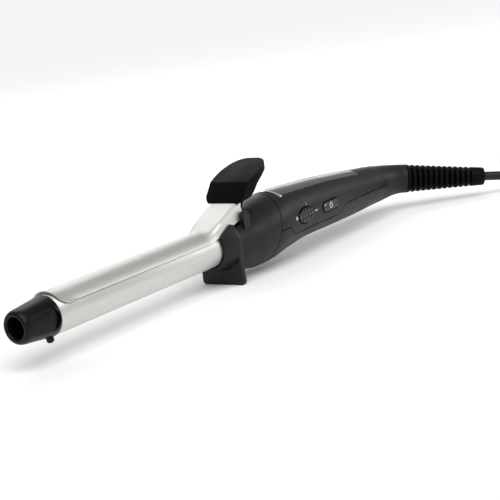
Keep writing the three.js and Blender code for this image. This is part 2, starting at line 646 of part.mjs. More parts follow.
function makeKeys() {
  const crown = (proud) => grip(50, 110, -proud, 6);
  const inside = -11;
  const rocker = meet(slab(rockerOutline(0), KEY_Y - 1, inside, 14), crown(0.7));
  add("temperature_rocker", rocker, MATTE_BLACK);
  const key = meet(slab(powerKeyOutline(0), KEY_Y - 1, inside, 5), crown(0.5));
  add("power_key", key, MATTE_BLACK);

  // The circuit board stands behind the keys with one switch for each of their three touches.
  const boardY = -8.2;
  add("circuit_board", box([56, boardY, -4.6], [122, boardY + 1.6, 6]), BOARD_GREEN);
  [60.8, 70.4, 90.6].forEach((x, index) => {
    const middle = x < 80 ? ROCKER.z : 1.35;
    const body = box([x - 1.6, boardY - 1.6, middle - 1.6], [x + 1.6, boardY - GAP, middle + 1.6]);
    const stem = crossRod(x, middle, 0.8, boardY - 2.1, boardY - 1.5, 12);
    add(`key_switch_${index + 1}`, join(body, stem), STEEL);
  });
  add("power_transistor", box([108, boardY + 1.9, -2], [118, boardY + 6.2, 5]), GLOSS_BLACK);
  add("fuse", rod(2.4, 100, 118, 16).translate([0, 4, -7]), CERAMIC);
}

// ---------------------------------------------------------------- tail and cord exit
const reliefAxis = RELIEF_TIP.clone().sub(RELIEF_BASE).normalize();
const reliefLength = RELIEF_TIP.distanceTo(RELIEF_BASE);
const toRelief = new THREE.Matrix4().makeRotationFromQuaternion(
  new THREE.Quaternion().setFromUnitVectors(new THREE.Vector3(1, 0, 0), reliefAxis),
);

/** Turns a solid drawn along X from 0 to lie along the strain relief from its base. */
function alongRelief(made) {
  const columns = toRelief.elements;
  const { x, y, z } = RELIEF_BASE;
  return made.transform([...columns.slice(0, 12), x, y, z, 1]);
}

/** The tail: a tube that bends from the handle's axis to the cord's, its section going from oval to round. */
function tailForm(inset, startX, endShare = 1) {
  const geometry = new THREE.CylinderGeometry(1, 1, 1, 28, 8);
  const position = geometry.attributes.position;
  const seam = gripAt(TAIL_SEAM_X);
  const from = new THREE.Vector3(startX, 0, seam.middle);
  const reach = from.distanceTo(RELIEF_BASE) * 0.36;
  const path = new THREE.CubicBezierCurve3(
    from,
    from.clone().add(new THREE.Vector3(reach, 0, -0.06 * reach)),
    RELIEF_BASE.clone().addScaledVector(reliefAxis, -reach),
    RELIEF_BASE.clone(),
  );
  for (let i = 0; i < position.count; i += 1) {
    const share = (position.getY(i) + 0.5) * endShare;
    const centre = path.getPoint(share);
    const ahead = path.getTangent(share);
    const sideways = new THREE.Vector3(0, 0, 1).cross(ahead).normalize();
    const upwards = ahead.clone().cross(sideways);
    const blend = THREE.MathUtils.smoothstep(share, 0, 1);
    const halfWidth = THREE.MathUtils.lerp(seam.halfWidth, RELIEF_BASE_R, blend) - inset;
    const halfHeight = THREE.MathUtils.lerp(seam.halfHeight, RELIEF_BASE_R, blend) - inset;
    centre.addScaledVector(sideways, position.getX(i) * halfWidth);
    centre.addScaledVector(upwards, position.getZ(i) * halfHeight);
    position.setXYZ(i, centre.x, centre.y, centre.z);
  }
  return solid(geometry);
}

function makeTail() {
  const seamCut = behind(TAIL_SEAM_X + GAP, TAIL_SEAM_LEAN);
  const outer = meet(tailForm(0, TAIL_SEAM_X - 4), seamCut);
  const socket = alongRelief(rod(5.2, -9, 6, 24));
  const wireRoom = tailForm(4.6, TAIL_SEAM_X - 6, 0.82);
  const ringRoom = alongRelief(rod(3.9, -17, -8, 24));
  add("tail_cap", cut(outer, wireRoom, socket, ringRoom), SOFT_BLACK);

  // The swivel: the relief's hub turns in the cap, held by a clip, with two contact rings behind it.
  const hub = [[2.9, -7.5], [4.9, -7.5], [4.9, GAP], [RELIEF_BASE_R, GAP]];
  const pitch = (reliefLength - 8.5) / RELIEF_RIBS;
  const outside = [];
  for (let rib = 0; rib < RELIEF_RIBS; rib += 1) {
    const at = 2 + rib * pitch;
    const share = at / reliefLength;
    const ribR = THREE.MathUtils.lerp(RELIEF_BASE_R, RELIEF_TIP_R, share);
    const rootR = ribR - NOTCH_DEPTH;
    outside.push([ribR, at], [rootR, at + 0.1], [rootR, at + pitch * 0.45], [ribR, at + pitch * 0.5]);
  }
  const last = reliefLength - 0.6;
  outside.push([RELIEF_TIP_R, reliefLength - 6], [RELIEF_TIP_R, last], [RELIEF_TIP_R - 0.6, reliefLength]);
  const profile = [...hub, ...outside, [CORD_D / 2 + GAP, reliefLength], [CORD_D / 2 + GAP, 2], [2.9, -7.5]];
  add("strain_relief", alongRelief(turned(profile, 16)), RUBBER_BLACK);
  add("swivel_clip", alongRelief(pipe(2.9, 5, -8.6, -7.8, 20)), STEEL);
  add("swivel_spindle", alongRelief(rod(2.5, -16, 1.6, 16)), NYLON);
  add("contact_ring_1", alongRelief(pipe(2.8, 3.3, -11.4, -9.8, 16)), BRASS);
  add("contact_ring_2", alongRelief(pipe(2.8, 3.3, -14.4, -12.8, 16)), BRASS);
}

// ---------------------------------------------------------------- wires
function makeWires() {
  const wire = (name, points, material) => {
    const curve = new THREE.CatmullRomCurve3(points.map((point) => new THREE.Vector3(...point)));
    add(name, swept(curve, 0.8, 14, 6), material);
  };
  // The heater's leads run from the barrel's insulator to the board, the supply's from the swivel.
  const heaterRun = (z) => [[4, 0, z], [16, 0, z], [30, 0, 0.6 * z - 1], [44, -3, z - 1], [55, -6.6, z]];
  wire("heater_lead_1", heaterRun(2), RED_WIRE);
  wire("heater_lead_2", heaterRun(-2), BLUE_WIRE);
  const supplyRun = (y) => [[129, y - 3.4, 1], [140, y, 0.5], [150, y, -1], [160, y, -1.6]];
  wire("supply_lead_1", supplyRun(2.6), RED_WIRE);
  wire("supply_lead_2", supplyRun(-2.6), BLUE_WIRE);
}

// ---------------------------------------------------------------- cord
// The cord leaves the strain relief, turns level with the barrel as it comes down and runs on to its hank.
const CORD_ROUTE = [
  [210.5, -42.5, -9.4], [214, -46.05, -10.05], [217.5, -49.6, -10.7], [221, -53.1, -11.45],
  [224.8, -56.3, -12.5], [228.8, -58.75, -13.8], [233.1, -60.5, -15.2], [237.7, -61.6, -16.5],
  [242.4, -62, -17.55], [247, -62, -18.05], [252, -62, -18.2], [258, -62, -18.2], [264, -62, -18.2],
  [270, -62, -18.2], [277, -62, -18.2], [284, -62, -18.2], [291, -62, -18.2], [298, -62, -18.2],
  [305, -62, -18.2], [312, -62, -18.2],
];

// The hank: two folds joined by straight runs that a tie pinches together in the middle.
const HANK_LEFT = 319; // the left fold's centre
const HANK_RUN = 94;
const HANK_Y = -37.3;
const HANK_HEIGHT = 18.2;
const HANK_LEFT_R = 5.25 * CORD_D;
const HANK_RIGHT_R = 4.8 * CORD_D;
const HANK_WAIST = 2.1 * CORD_D;
const TAIL_RUN = 50; // the cord's end, crossing the top of the hank to the plug
const TAIL_RISE = 4.8;

function makeCord() {
  const floor = -STAND_DROP;
  const cordR = CORD_D / 2;
  const route = CORD_ROUTE.map((point) => new THREE.Vector3(...point));
  route[0].addScaledVector(reliefAxis, GAP);
  route.push(new THREE.Vector3(HANK_LEFT - GAP, HANK_Y - HANK_LEFT_R + cordR, floor + cordR));
  add("cord", swept(new THREE.CatmullRomCurve3(route, false, "centripetal"), cordR, 30, 10), CORD_BLACK);

  const middle = HANK_LEFT + HANK_RUN / 2;
  const right = HANK_LEFT + HANK_RUN;
  const quarter = HANK_RUN / 4;
  const shape = new THREE.Shape();
  shape.absarc(HANK_LEFT, HANK_Y, HANK_LEFT_R, Math.PI / 2, 1.5 * Math.PI);
  const pinch = (side, fromX, fromR, toX, toR) => {
    const bend = Math.sign(toX - fromX) * quarter;
    const y = (radius) => HANK_Y + side * radius;
    shape.bezierCurveTo(fromX + bend, y(fromR), toX - bend, y(toR), toX, y(toR));
  };
  pinch(-1, HANK_LEFT, HANK_LEFT_R, middle, HANK_WAIST);
  pinch(-1, middle, HANK_WAIST, right, HANK_RIGHT_R);
  shape.absarc(right, HANK_Y, HANK_RIGHT_R, -Math.PI / 2, Math.PI / 2);
  pinch(1, right, HANK_RIGHT_R, middle, HANK_WAIST);
  pinch(1, middle, HANK_WAIST, HANK_LEFT, HANK_LEFT_R);
  const block = prism(shape, floor, floor + HANK_HEIGHT, 7);

  // The last of the cord lies across the top and rises to the plug.
  const tailStart = [HANK_LEFT, HANK_Y - 3.15 * CORD_D, floor + HANK_HEIGHT + cordR - 0.4];
  const tail = [];
  for (let i = 0; i <= 8; i += 1) {
    const share = (1 - Math.cos((Math.PI * i) / 8)) / 2;
    const y = tailStart[1] + share * (HANK_Y - tailStart[1]);
    tail.push(new THREE.Vector3(HANK_LEFT + (TAIL_RUN * i) / 8, y, tailStart[2] + share * TAIL_RISE));
  }
  const end = swept(new THREE.CatmullRomCurve3(tail), cordR, 16, 10);
  const entry = box(
    [HANK_LEFT - HANK_LEFT_R - 1, HANK_Y - HANK_LEFT_R - 1, floor - 1],
    [HANK_LEFT, HANK_Y - HANK_LEFT_R + CORD_D + GAP, floor + CORD_D + GAP],
  );
  const strapRoom = box([middle - 4.4, -80, floor - 1], [middle + 4.4, 20, floor + 1.4]);
  add("cord_hank", cut(join(block, end), entry, strapRoom), CORD_BLACK);

  // A flat strap round the waist.
  const strapThick = 0.9;
  const strap = (grow) =>
    rounded(
      HANK_Y - HANK_WAIST - 0.6 - grow,
      HANK_Y + HANK_WAIST + 0.6 + grow,
      floor + 0.4 + strapThick - grow,
      floor + HANK_HEIGHT + grow,
      0.2 + grow,
    );
  const inner = strap(GAP);
  const band = bar(strap(GAP + strapThick), middle - 4, middle + 4, 4);
  add("cord_tie", cut(band, bar(inner, middle - 5, middle + 5, 4)), RUBBER_BLACK);
  makePlug(tail.at(-1));
}

const BLADE_Y = 6.35;

function makePlug(cordEnd) {
  const at = (made) => made.translate([cordEnd.x + GAP, cordEnd.y, cordEnd.z]);
  const neck = turned([[0, 0], [4.1, 0], [5.6, 21], [0, 21]], 20);
  const plan = rounded(20, 44, -12.6, 12.6, 4);
  const body = join(neck, prism(plan, -6.6, 6.6, 4));
  const blade = (y, xLow, xHigh, grow) =>
    box([xLow, y - 3.2 - grow, -0.8 - grow], [xHigh, y + 3.2 + grow, 0.8 + grow]);
  add("plug_body", at(cut(body, ...[-BLADE_Y, BLADE_Y].map((y) => blade(y, 34, 45, GAP)))), RUBBER_BLACK);
  [-BLADE_Y, BLADE_Y].forEach((y, index) => {
    add(`plug_blade_${index + 1}`, at(blade(y, 34 + GAP, 61, 0)), BRASS);
  });
}

makeBarrel();
makeTip();
makeClamp();
makePaddle();
makeHinge();
makeStand();
makeNose();
makeHandle();
makeKeys();
makeTail();
makeWires();
makeCord();

// Without the cord and what rides on it, the iron stands centred on the origin.
const onCord = (name) => name === "strain_relief" || name.startsWith("cord") || name.startsWith("plug");
const standing = new THREE.Box3();
iron.children.filter((mesh) => !onCord(mesh.name)).forEach((mesh) => standing.expandByObject(mesh));
const middle = standing.getCenter(new THREE.Vector3());
iron.position.set(-middle.x, -middle.y, -standing.min.z);

export default iron;
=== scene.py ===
import json
import math

import bmesh
import bpy
from mathutils import Matrix, Quaternion, Vector


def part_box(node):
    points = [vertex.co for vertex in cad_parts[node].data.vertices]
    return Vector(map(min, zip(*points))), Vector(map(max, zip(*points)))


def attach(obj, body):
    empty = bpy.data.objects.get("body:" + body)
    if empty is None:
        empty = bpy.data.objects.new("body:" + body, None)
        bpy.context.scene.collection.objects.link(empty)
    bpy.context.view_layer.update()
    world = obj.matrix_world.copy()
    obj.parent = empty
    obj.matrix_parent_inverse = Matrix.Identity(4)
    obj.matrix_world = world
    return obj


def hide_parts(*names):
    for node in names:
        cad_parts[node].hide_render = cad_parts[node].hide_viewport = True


# A slim curling iron lying on its foot in a soft-lit studio.
#
# Shapes are drawn in the iron's own frame, in millimetres. X runs along the barrel, from just behind the
# stand collar's front edge, with the cool tip on -X. Z is measured from the barrel's axis, and the keys are
# on -Y. place() and finished() move the shapes into the CAD model's frame, in metres.
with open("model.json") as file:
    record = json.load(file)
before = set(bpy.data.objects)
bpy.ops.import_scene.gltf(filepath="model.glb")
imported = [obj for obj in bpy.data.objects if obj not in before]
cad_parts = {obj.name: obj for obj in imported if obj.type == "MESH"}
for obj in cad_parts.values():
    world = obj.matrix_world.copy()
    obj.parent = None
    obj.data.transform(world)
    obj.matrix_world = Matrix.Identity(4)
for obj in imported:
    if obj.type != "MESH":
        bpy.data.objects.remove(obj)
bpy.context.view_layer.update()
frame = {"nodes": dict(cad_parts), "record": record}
scene = bpy.context.scene

MM = 0.001
BARREL_FRONT = -117.2
barrel_low, barrel_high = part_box("barrel_tube")
TO_FRAME = Matrix.Translation(
    (
        barrel_low[0] - BARREL_FRONT * MM,
        (barrel_low[1] + barrel_high[1]) / 2,
        (barrel_low[2] + barrel_high[2]) / 2,
    )
) @ Matrix.Scale(MM, 4)
FLOOR_Z = -TO_FRAME.translation.z / MM


def place(x, y, z):
    return TO_FRAME @ Vector((x, y, z))


# ---------------------------------------------------------------- camera
CAMERA_AT = (-570.56, -473.88, 154.98)
CAMERA_HEADING = math.radians(38.12)
CAMERA_PITCH = math.radians(-12.07)
CAMERA_ROLL = math.radians(-8.28)
CAMERA_LENS = 108.96

camera_data = bpy.data.cameras.new("camera")
camera_data.lens = CAMERA_LENS
camera_data.sensor_width = 36
camera = bpy.data.objects.new("camera", camera_data)
scene.collection.objects.link(camera)
ahead = Vector(
    (
        math.cos(CAMERA_PITCH) * math.cos(CAMERA_HEADING),
        math.cos(CAMERA_PITCH) * math.sin(CAMERA_HEADING),
        math.sin(CAMERA_PITCH),
    )
)
turn = ahead.to_track_quat("-Z", "Y") @ Quaternion((0, 0, 1), CAMERA_ROLL)
camera.matrix_world = Matrix.Translation(place(*CAMERA_AT)) @ turn.to_matrix().to_4x4()
scene.camera = camera


# ---------------------------------------------------------------- materials
SOCKETS = {"specular_ior_level": "Specular IOR Level", "coat_weight": "Coat Weight"}


def material(name, color, roughness, metallic=0.0, **sockets):
    """A Principled material with its even values set on the shader's own sockets."""
    made = bpy.data.materials.new(name)
    made.use_nodes = True
    shader = made.node_tree.nodes["Principled BSDF"]
    shader.inputs["Base Color"].default_value = (*color, 1)
    shader.inputs["Roughness"].default_value = roughness
    shader.inputs["Metallic"].default_value = metallic
    for socket, value in sockets.items():
        shader.inputs[SOCKETS[socket]].default_value = value
    return made


def noise(made, stretch, scale, detail=3.0):
    """A noise texture in object space; stretch makes its grain longer along each axis."""
    nodes, links = made.node_tree.nodes, made.node_tree.links
    place_in = nodes.new("ShaderNodeTexCoord")
    mapping = nodes.new("ShaderNodeMapping")
    mapping.inputs["Scale"].default_value = [1 / value for value in stretch]
    texture = nodes.new("ShaderNodeTexNoise")
    texture.inputs["Scale"].default_value = scale
    texture.inputs["Detail"].default_value = detail
    links.new(place_in.outputs["Object"], mapping.inputs["Vector"])
    links.new(mapping.outputs["Vector"], texture.inputs["Vector"])
    return texture.outputs["Fac"]


def vary(made, factor, socket, low, high):
    """Drives one of the shader's sockets between two values, or two colours, by a texture."""
    nodes, links = made.node_tree.nodes, made.node_tree.links
    ramp = nodes.new("ShaderNodeValToRGB")
    for stop, value, position in zip(ramp.color_ramp.elements, (low, high), (0.3, 0.7)):
        stop.color = (*value, 1) if isinstance(value, tuple) else (value, value, value, 1)
        stop.position = position
    links.new(factor, ramp.inputs["Fac"])
    links.new(ramp.outputs["Color"], nodes["Principled BSDF"].inputs[socket])


def bump(made, height, depth_mm, strength=1.0):
    """Raises the surface by a texture, to a real depth."""
    nodes, links = made.node_tree.nodes, made.node_tree.links
    node = nodes.new("ShaderNodeBump")
    node.inputs["Distance"].default_value = depth_mm * MM
    node.inputs["Strength"].default_value = strength
    links.new(height, node.inputs["Height"])
    links.new(node.outputs["Normal"], nodes["Principled BSDF"].inputs["Normal"])


def brushed(name, color, roughness):
    """Metal with fine scratches along the barrel and a slow drift in its tone."""
    made = material(name, color, roughness, metallic=1.0)
    scratches = noise(made, (60, 1, 1), 9000)
    bump(made, scratches, 0.002, 0.2)
    vary(made, noise(made, (6, 1, 1), 600), "Roughness", roughness - 0.02, roughness + 0.02)
    darker = tuple(0.97 * value for value in color)
    vary(made, noise(made, (12, 1, 1), 900), "Base Color", darker, color)
    return made


def moulded(name, color, roughness, grain_mm, depth_mm, **sockets):
    """Plastic or rubber with a moulded grain and faint handling marks."""
    made = material(name, color, roughness, **sockets)
    bump(made, noise(made, (1, 1, 1), 1 / (grain_mm * MM), 2.0), depth_mm, 0.5)
    vary(made, noise(made, (1, 1, 1), 90), "Roughness", roughness - 0.05, roughness + 0.06)
    lighter = tuple(1.25 * value for value in color)
    vary(made, noise(made, (2, 1, 1), 45), "Base Color", color, lighter)
    return made


LOOKS = {
    "satin_metal": brushed("satin_metal", (0.64, 0.635, 0.61), 0.46),
    "tip_black": moulded("tip_black", (0.0015, 0.0015, 0.0015), 0.3, 0.25, 0.006, specular_ior_level=0.2),
    "paddle_black": moulded(
        "paddle_black", (0.001, 0.0014, 0.0015), 0.5, 0.3, 0.015, specular_ior_level=0.06
    ),
    "soft_black": moulded("soft_black", (0.0055, 0.0055, 0.0056), 0.42, 0.22, 0.01, specular_ior_level=0.26),
    "gloss_black": moulded("gloss_black", (0.045, 0.045, 0.046), 0.3, 1.5, 0.002, coat_weight=0.4),
    "key_black": moulded("key_black", (0.002, 0.002, 0.002), 0.2, 0.3, 0.004),
    "chrome": material("chrome", (0.9, 0.9, 0.91), 0.06, metallic=1.0),
    "steel": brushed("steel", (0.55, 0.56, 0.57), 0.3),
    "aluminium": brushed("aluminium", (0.62, 0.63, 0.64), 0.42),
    "ceramic": moulded("ceramic", (0.8, 0.78, 0.72), 0.55, 0.2, 0.01),
    "brass": brushed("brass", (0.72, 0.55, 0.26), 0.24),
    "nylon": moulded("nylon", (0.72, 0.7, 0.64), 0.45, 0.3, 0.01),
    "board_green": moulded("board_green", (0.02, 0.14, 0.06), 0.4, 0.6, 0.01),
    "relief_rubber": moulded(
        "relief_rubber", (0.001, 0.001, 0.001), 0.55, 0.3, 0.015, specular_ior_level=0.08
    ),
    "cord_sheath": moulded("cord_sheath", (0.004, 0.004, 0.004), 0.4, 0.5, 0.008, specular_ior_level=0.3),
    "wire_red": moulded("wire_red", (0.42, 0.02, 0.015), 0.45, 0.3, 0.01),
    "wire_blue": moulded("wire_blue", (0.02, 0.05, 0.4), 0.45, 0.3, 0.01),
}
PRINT_GREY = moulded("print_grey", (0.5, 0.5, 0.5), 0.5, 0.2, 0.002)

SLOT_OF = {entry["node"]: entry["material_slot"] for entry in frame["record"]["subparts"]}
for node_name, node in frame["nodes"].items():
    for index in range(len(node.material_slots)):
        node.material_slots[index].material = LOOKS[SLOT_OF[node_name]]


# ---------------------------------------------------------------- making solids
def from_mesh(mesh):
    made = bpy.data.objects.new("solid", mesh)
    scene.collection.objects.link(made)
    return made


def from_faces(points, faces):
    """A closed solid with doubled points merged and its faces turned outwards."""
    mesh = bpy.data.meshes.new("solid")
    mesh.from_pydata([tuple(point) for point in points], [], faces)
    cleaned = bmesh.new()
    cleaned.from_mesh(mesh)
    bmesh.ops.remove_doubles(cleaned, verts=cleaned.verts, dist=1e-4)
    bmesh.ops.dissolve_degenerate(cleaned, edges=cleaned.edges, dist=1e-5)
    bmesh.ops.recalc_face_normals(cleaned, faces=cleaned.faces)
    cleaned.to_mesh(mesh)
    cleaned.free()
    return from_mesh(mesh)


def loft(rings, closed=False):
    """A skin over rings of points, with its ends capped, or joined up when closed."""
    count = len(rings[0])
    points = [point for ring in rings for point in ring]
    faces = []
    for i in range(len(rings) if closed else len(rings) - 1):
        start, after = i * count, (i + 1) % len(rings) * count
        for j in range(count):
            k = (j + 1) % count
            faces.append((start + j, start + k, after + k, after + j))
    if not closed:
        faces.append(tuple(range(count)))
        faces.append(tuple(range(len(points) - count, len(points))))
    return from_faces(points, faces)


def lathe(profile, segments=96):
    """A closed profile of (radius, x) turned about the X axis."""
    rings = []
    for i in range(segments):
        angle = 2 * math.pi * i / segments
        rings.append([(x, radius * math.cos(angle), radius * math.sin(angle)) for radius, x in profile])
    return loft(rings, closed=True)


def rod(radius, x_low, x_high, segments=64):
    return lathe([(0, x_low), (radius, x_low), (radius, x_high), (0, x_high)], segments)


def prism(outline, low, high, axis):
    """An outline pushed along X, Y or Z; its pairs are the other two axes in order."""
    def at(pair, depth):
        values = list(pair)
        values.insert("XYZ".index(axis), depth)
        return tuple(values)

    return loft([[at(pair, low) for pair in outline], [at(pair, high) for pair in outline]])


def arc(x, y, radius, start, end, steps=12):
    """Points along a circle, from one angle to another in degrees."""
    angles = [math.radians(start + (end - start) * i / steps) for i in range(steps + 1)]
    return [(x + radius * math.cos(angle), y + radius * math.sin(angle)) for angle in angles]


def rounded(x_low, x_high, y_low, y_high, radius, steps=8):
    return (
        arc(x_high - radius, y_high - radius, radius, 0, 90, steps)
        + arc(x_low + radius, y_high - radius, radius, 90, 180, steps)
        + arc(x_low + radius, y_low + radius, radius, 180, 270, steps)
        + arc(x_high - radius, y_low + radius, radius, 270, 360, steps)
    )


def baked(made):
    """Applies an object's modifiers."""
    bpy.context.view_layer.update()
    mesh = bpy.data.meshes.new_from_object(made.evaluated_get(bpy.context.evaluated_depsgraph_get()))
    made.modifiers.clear()
    made.data = mesh
    return made


def combine(operation, target, others):
    for other in others:
        modifier = target.modifiers.new("combine", "BOOLEAN")
        modifier.operation = operation
        modifier.solver = "MANIFOLD"
        modifier.object = other
    baked(target)
    for other in others:
        bpy.data.objects.remove(other)
    return target


def cut(target, *others):
    return combine("DIFFERENCE", target, others)


def meet(target, *others):
    return combine("INTERSECT", target, others)


def join(target, *others):
    return combine("UNION", target, others)


def eased(made, width, segments=3, angle=35):
    """Rounds an object's edges."""
    modifier = made.modifiers.new("eased", "BEVEL")
    modifier.width = width
    modifier.segments = segments
    modifier.limit_method = "ANGLE"
    modifier.angle_limit = math.radians(angle)
    modifier.harden_normals = False
    return baked(made)


def moved(made, matrix):
    made.data.transform(matrix)
    return made


def finished(name, made, look, body, *nodes, angle=32):
    """Names a piece, moves it into the CAD frame, and gives it its look, body and replaced nodes.

    A printed mark has no look of its own and replaces no node.
    """
    made.name = name
    made.data.name = name
    if made.type == "MESH":
        made.data.transform(TO_FRAME)
        made.data.shade_smooth()
        made.data.set_sharp_from_angle(angle=math.radians(angle))
    made.data.materials.clear()
    made.data.materials.append(LOOKS[look] if look else PRINT_GREY)
    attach(made, body)
    if nodes:
        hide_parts(*nodes)
    return made


def smooth(share):
    """A share from 0 to 1 that starts and ends gently."""
    share = min(max(share, 0.0), 1.0)
    return share * share * (3 - 2 * share)


def mix(low, high, share):
    return low + (high - low) * share


# ---------------------------------------------------------------- cord
CORD_D = 5.2
CORD_R = CORD_D / 2
# The cord leaves the strain relief, turns parallel to the barrel as it comes down and runs on to its hank.
CORD_ROUTE = [
    (210.5, -42.5, -9.4), (214, -46.05, -10.05), (217.5, -49.6, -10.7), (221, -53.1, -11.45),
    (224.8, -56.3, -12.5), (228.8, -58.75, -13.8), (233.1, -60.5, -15.2), (237.7, -61.6, -16.5),
    (242.4, -62, -17.55), (247, -62, -18.05), (252, -62, -18.2), (258, -62, -18.2), (264, -62, -18.2),
    (270, -62, -18.2), (277, -62, -18.2), (284, -62, -18.2), (291, -62, -18.2), (298, -62, -18.2),
    (305, -62, -18.2), (312, -62, -18.2),
]
HANK_LEFT = 319
HANK_RUN = 94
HANK_Y = -37.3
FOLD_LEFT_R = (3.15 * CORD_D, 4.75 * CORD_D)  # inner and outer column
FOLD_RIGHT_R = (3.15 * CORD_D, 4.3 * CORD_D)
WAIST_R = (0.53 * CORD_D, 1.6 * CORD_D)
LAYER = 1.18 * CORD_D
# Each lap's column and layer, and where the cord comes out on top.
LAPS = [(1, 0), (0, 0), (0, 1), (1, 1), (1, 2), (0, 2.9)]
RUN_STEPS = 12
FOLD_STEPS = 8
TAIL_STEPS = 8
TAIL_RUN = 50
TAIL_RISE = 4.8
WAIST_LIFT = 1.2  # over the tie's strap
WAIST_SPREAD = 9  # how far the lift reaches either way along the hank


def run_point(share, column, layer, side):
    """A point on a straight run: wide at both folds, pinched at the tie."""
    fold = FOLD_LEFT_R if share < 0.5 else FOLD_RIGHT_R
    away = (1 + math.cos(2 * math.pi * share)) / 2
    width = mix(WAIST_R[column], fold[column], away)
    from_tie = (share - 0.5) * HANK_RUN
    lift = WAIST_LIFT * math.exp(-((from_tie / WAIST_SPREAD) ** 2))
    return (HANK_LEFT + HANK_RUN * share, HANK_Y + side * width, FLOOR_Z + CORD_R + layer * LAYER + lift)


def fold_point(x, radius, layer, angle):
    """A point on a fold at either end of the hank."""
    return (
        x + radius * math.cos(angle),
        HANK_Y + radius * math.sin(angle),
        FLOOR_Z + CORD_R + layer * LAYER,
    )


def hank_points():
    """The cord's laps: a run out, a fold, a run back and a fold into the next lap."""
    points = []
    right = HANK_LEFT + HANK_RUN
    for (column, layer), (next_column, next_layer) in zip(LAPS, LAPS[1:]):
        for i in range(RUN_STEPS):
            points.append(run_point(i / RUN_STEPS, column, layer, -1))
        for i in range(FOLD_STEPS):
            angle = -math.pi / 2 + math.pi * i / FOLD_STEPS
            points.append(fold_point(right, FOLD_RIGHT_R[column], layer, angle))
        for i in range(RUN_STEPS):
            points.append(run_point(1 - i / RUN_STEPS, column, layer, 1))
        for i in range(FOLD_STEPS):
            share = i / FOLD_STEPS
            radius = mix(FOLD_LEFT_R[column], FOLD_LEFT_R[next_column], smooth(share))
            angle = math.pi / 2 + math.pi * share
            points.append(fold_point(HANK_LEFT, radius, mix(layer, next_layer, smooth(share)), angle))
    return points


def tail_points():
    """The cord's end, crossing the top of the hank and rising to the plug."""
    points = []
    for i in range(TAIL_STEPS + 1):
        across = (1 - math.cos(math.pi * i / TAIL_STEPS)) / 2
        points.append(
            (
                HANK_LEFT + TAIL_RUN * i / TAIL_STEPS,
                HANK_Y - FOLD_LEFT_R[0] * (1 - across),
                FLOOR_Z + CORD_R + LAPS[-1][1] * LAYER + TAIL_RISE * across,
            )
        )
    return points


def cord_curve(points):
    """A round tube along a smooth curve through the points."""
    curve = bpy.data.curves.new("cord", "CURVE")
    curve.dimensions = "3D"
    curve.bevel_depth = CORD_R * MM
    curve.bevel_resolution = 6
    curve.resolution_u = 5
    curve.use_fill_caps = True
    spline = curve.splines.new("BEZIER")
    spline.bezier_points.add(len(points) - 1)
    for knot, point in zip(spline.bezier_points, points):
        knot.co = place(*point)
        knot.handle_left_type = knot.handle_right_type = "AUTO"
    made = bpy.data.objects.new("cord", curve)
    scene.collection.objects.link(made)
    return made


cord_points = CORD_ROUTE + hank_points() + tail_points()
cord = finished("power_cord", cord_curve(cord_points), "cord_sheath", "handle", "cord", "cord_hank")
bpy.context.view_layer.update()


def curve_length(curve):
    evaluated = curve.evaluated_get(bpy.context.evaluated_depsgraph_get())
    return sum(spline.calc_length() for spline in evaluated.data.splines)


PLUG_NECK_RIBS = 5
PLUG_RIB_PITCH = 3.6
PLUG_GRIP_GROOVES = 4
BLADE_Y = 6.35
BLADE_HALF_WIDTH = 3.2
BLADE_HALF_THICK = 0.8


def make_plug():
    """A flat two-blade plug: a ribbed neck, a soft-cornered body and two brass blades."""
    start = Vector(tail_points()[-1]) + Vector((0.3, 0, 0))
    at = Matrix.Translation(start)
    profile = [(0, 0), (3.6, 0), (3.9, 0.4)]
    for rib in range(PLUG_NECK_RIBS):
        x = 2 + rib * PLUG_RIB_PITCH
        radius = mix(4.0, 5.6, rib / PLUG_NECK_RIBS)
        profile += [(radius, x), (radius - 0.9, x + 0.2), (radius - 0.9, x + 1.3), (radius + 0.2, x + 1.5)]
    profile += [(5.7, 21), (0, 21)]
    neck = lathe(profile, 64)
    body = eased(prism(rounded(20, 44, -12.6, 12.6, 4), -6.6, 6.6, "Z"), 1.6, 4)
    grooves = []
    for y_low, y_high in ((-13.5, -12.1), (12.1, 13.5)):
        for i in range(PLUG_GRIP_GROOVES):
            x = 25 + 3 * i
            grooves.append(prism([(y_low, -4.5), (y_high, -4.5), (y_high, 4.5), (y_low, 4.5)], x, x + 1, "X"))
    slots = [prism(rounded(y - 3.4, y + 3.4, -1, 1, 0.3, 2), 40, 45, "X") for y in (-BLADE_Y, BLADE_Y)]
    body = join(cut(body, *grooves, *slots), neck)
    shell = finished("plug_shell", moved(body, at), "relief_rubber", "handle", "plug_body")
    return [shell, *(make_blade(number, y, at) for number, y in ((1, -BLADE_Y), (2, BLADE_Y)))]


def make_blade(number, y, at):
    """A brass blade with a hole near its end, whose corners are cut off."""
    back, shoulder, end = 34.3, 59.4, 61
    half, half_end = BLADE_HALF_WIDTH, 2
    plan = [(back, y - half), (shoulder, y - half), (end, y - half_end)]
    plan += [(end, y + half_end), (shoulder, y + half), (back, y + half)]
    hole = prism(arc(57, y, 1.4, 0, 345, 23), -2, 2, "Z")
    blade = cut(eased(prism(plan, -BLADE_HALF_THICK, BLADE_HALF_THICK, "Z"), 0.18, 2), hole)
    return finished(f"blade_{number}", moved(blade, at), "brass", "handle", f"plug_blade_{number}")


STRAP_THICK = 0.9
STRAP_HALF_WIDTH = 4


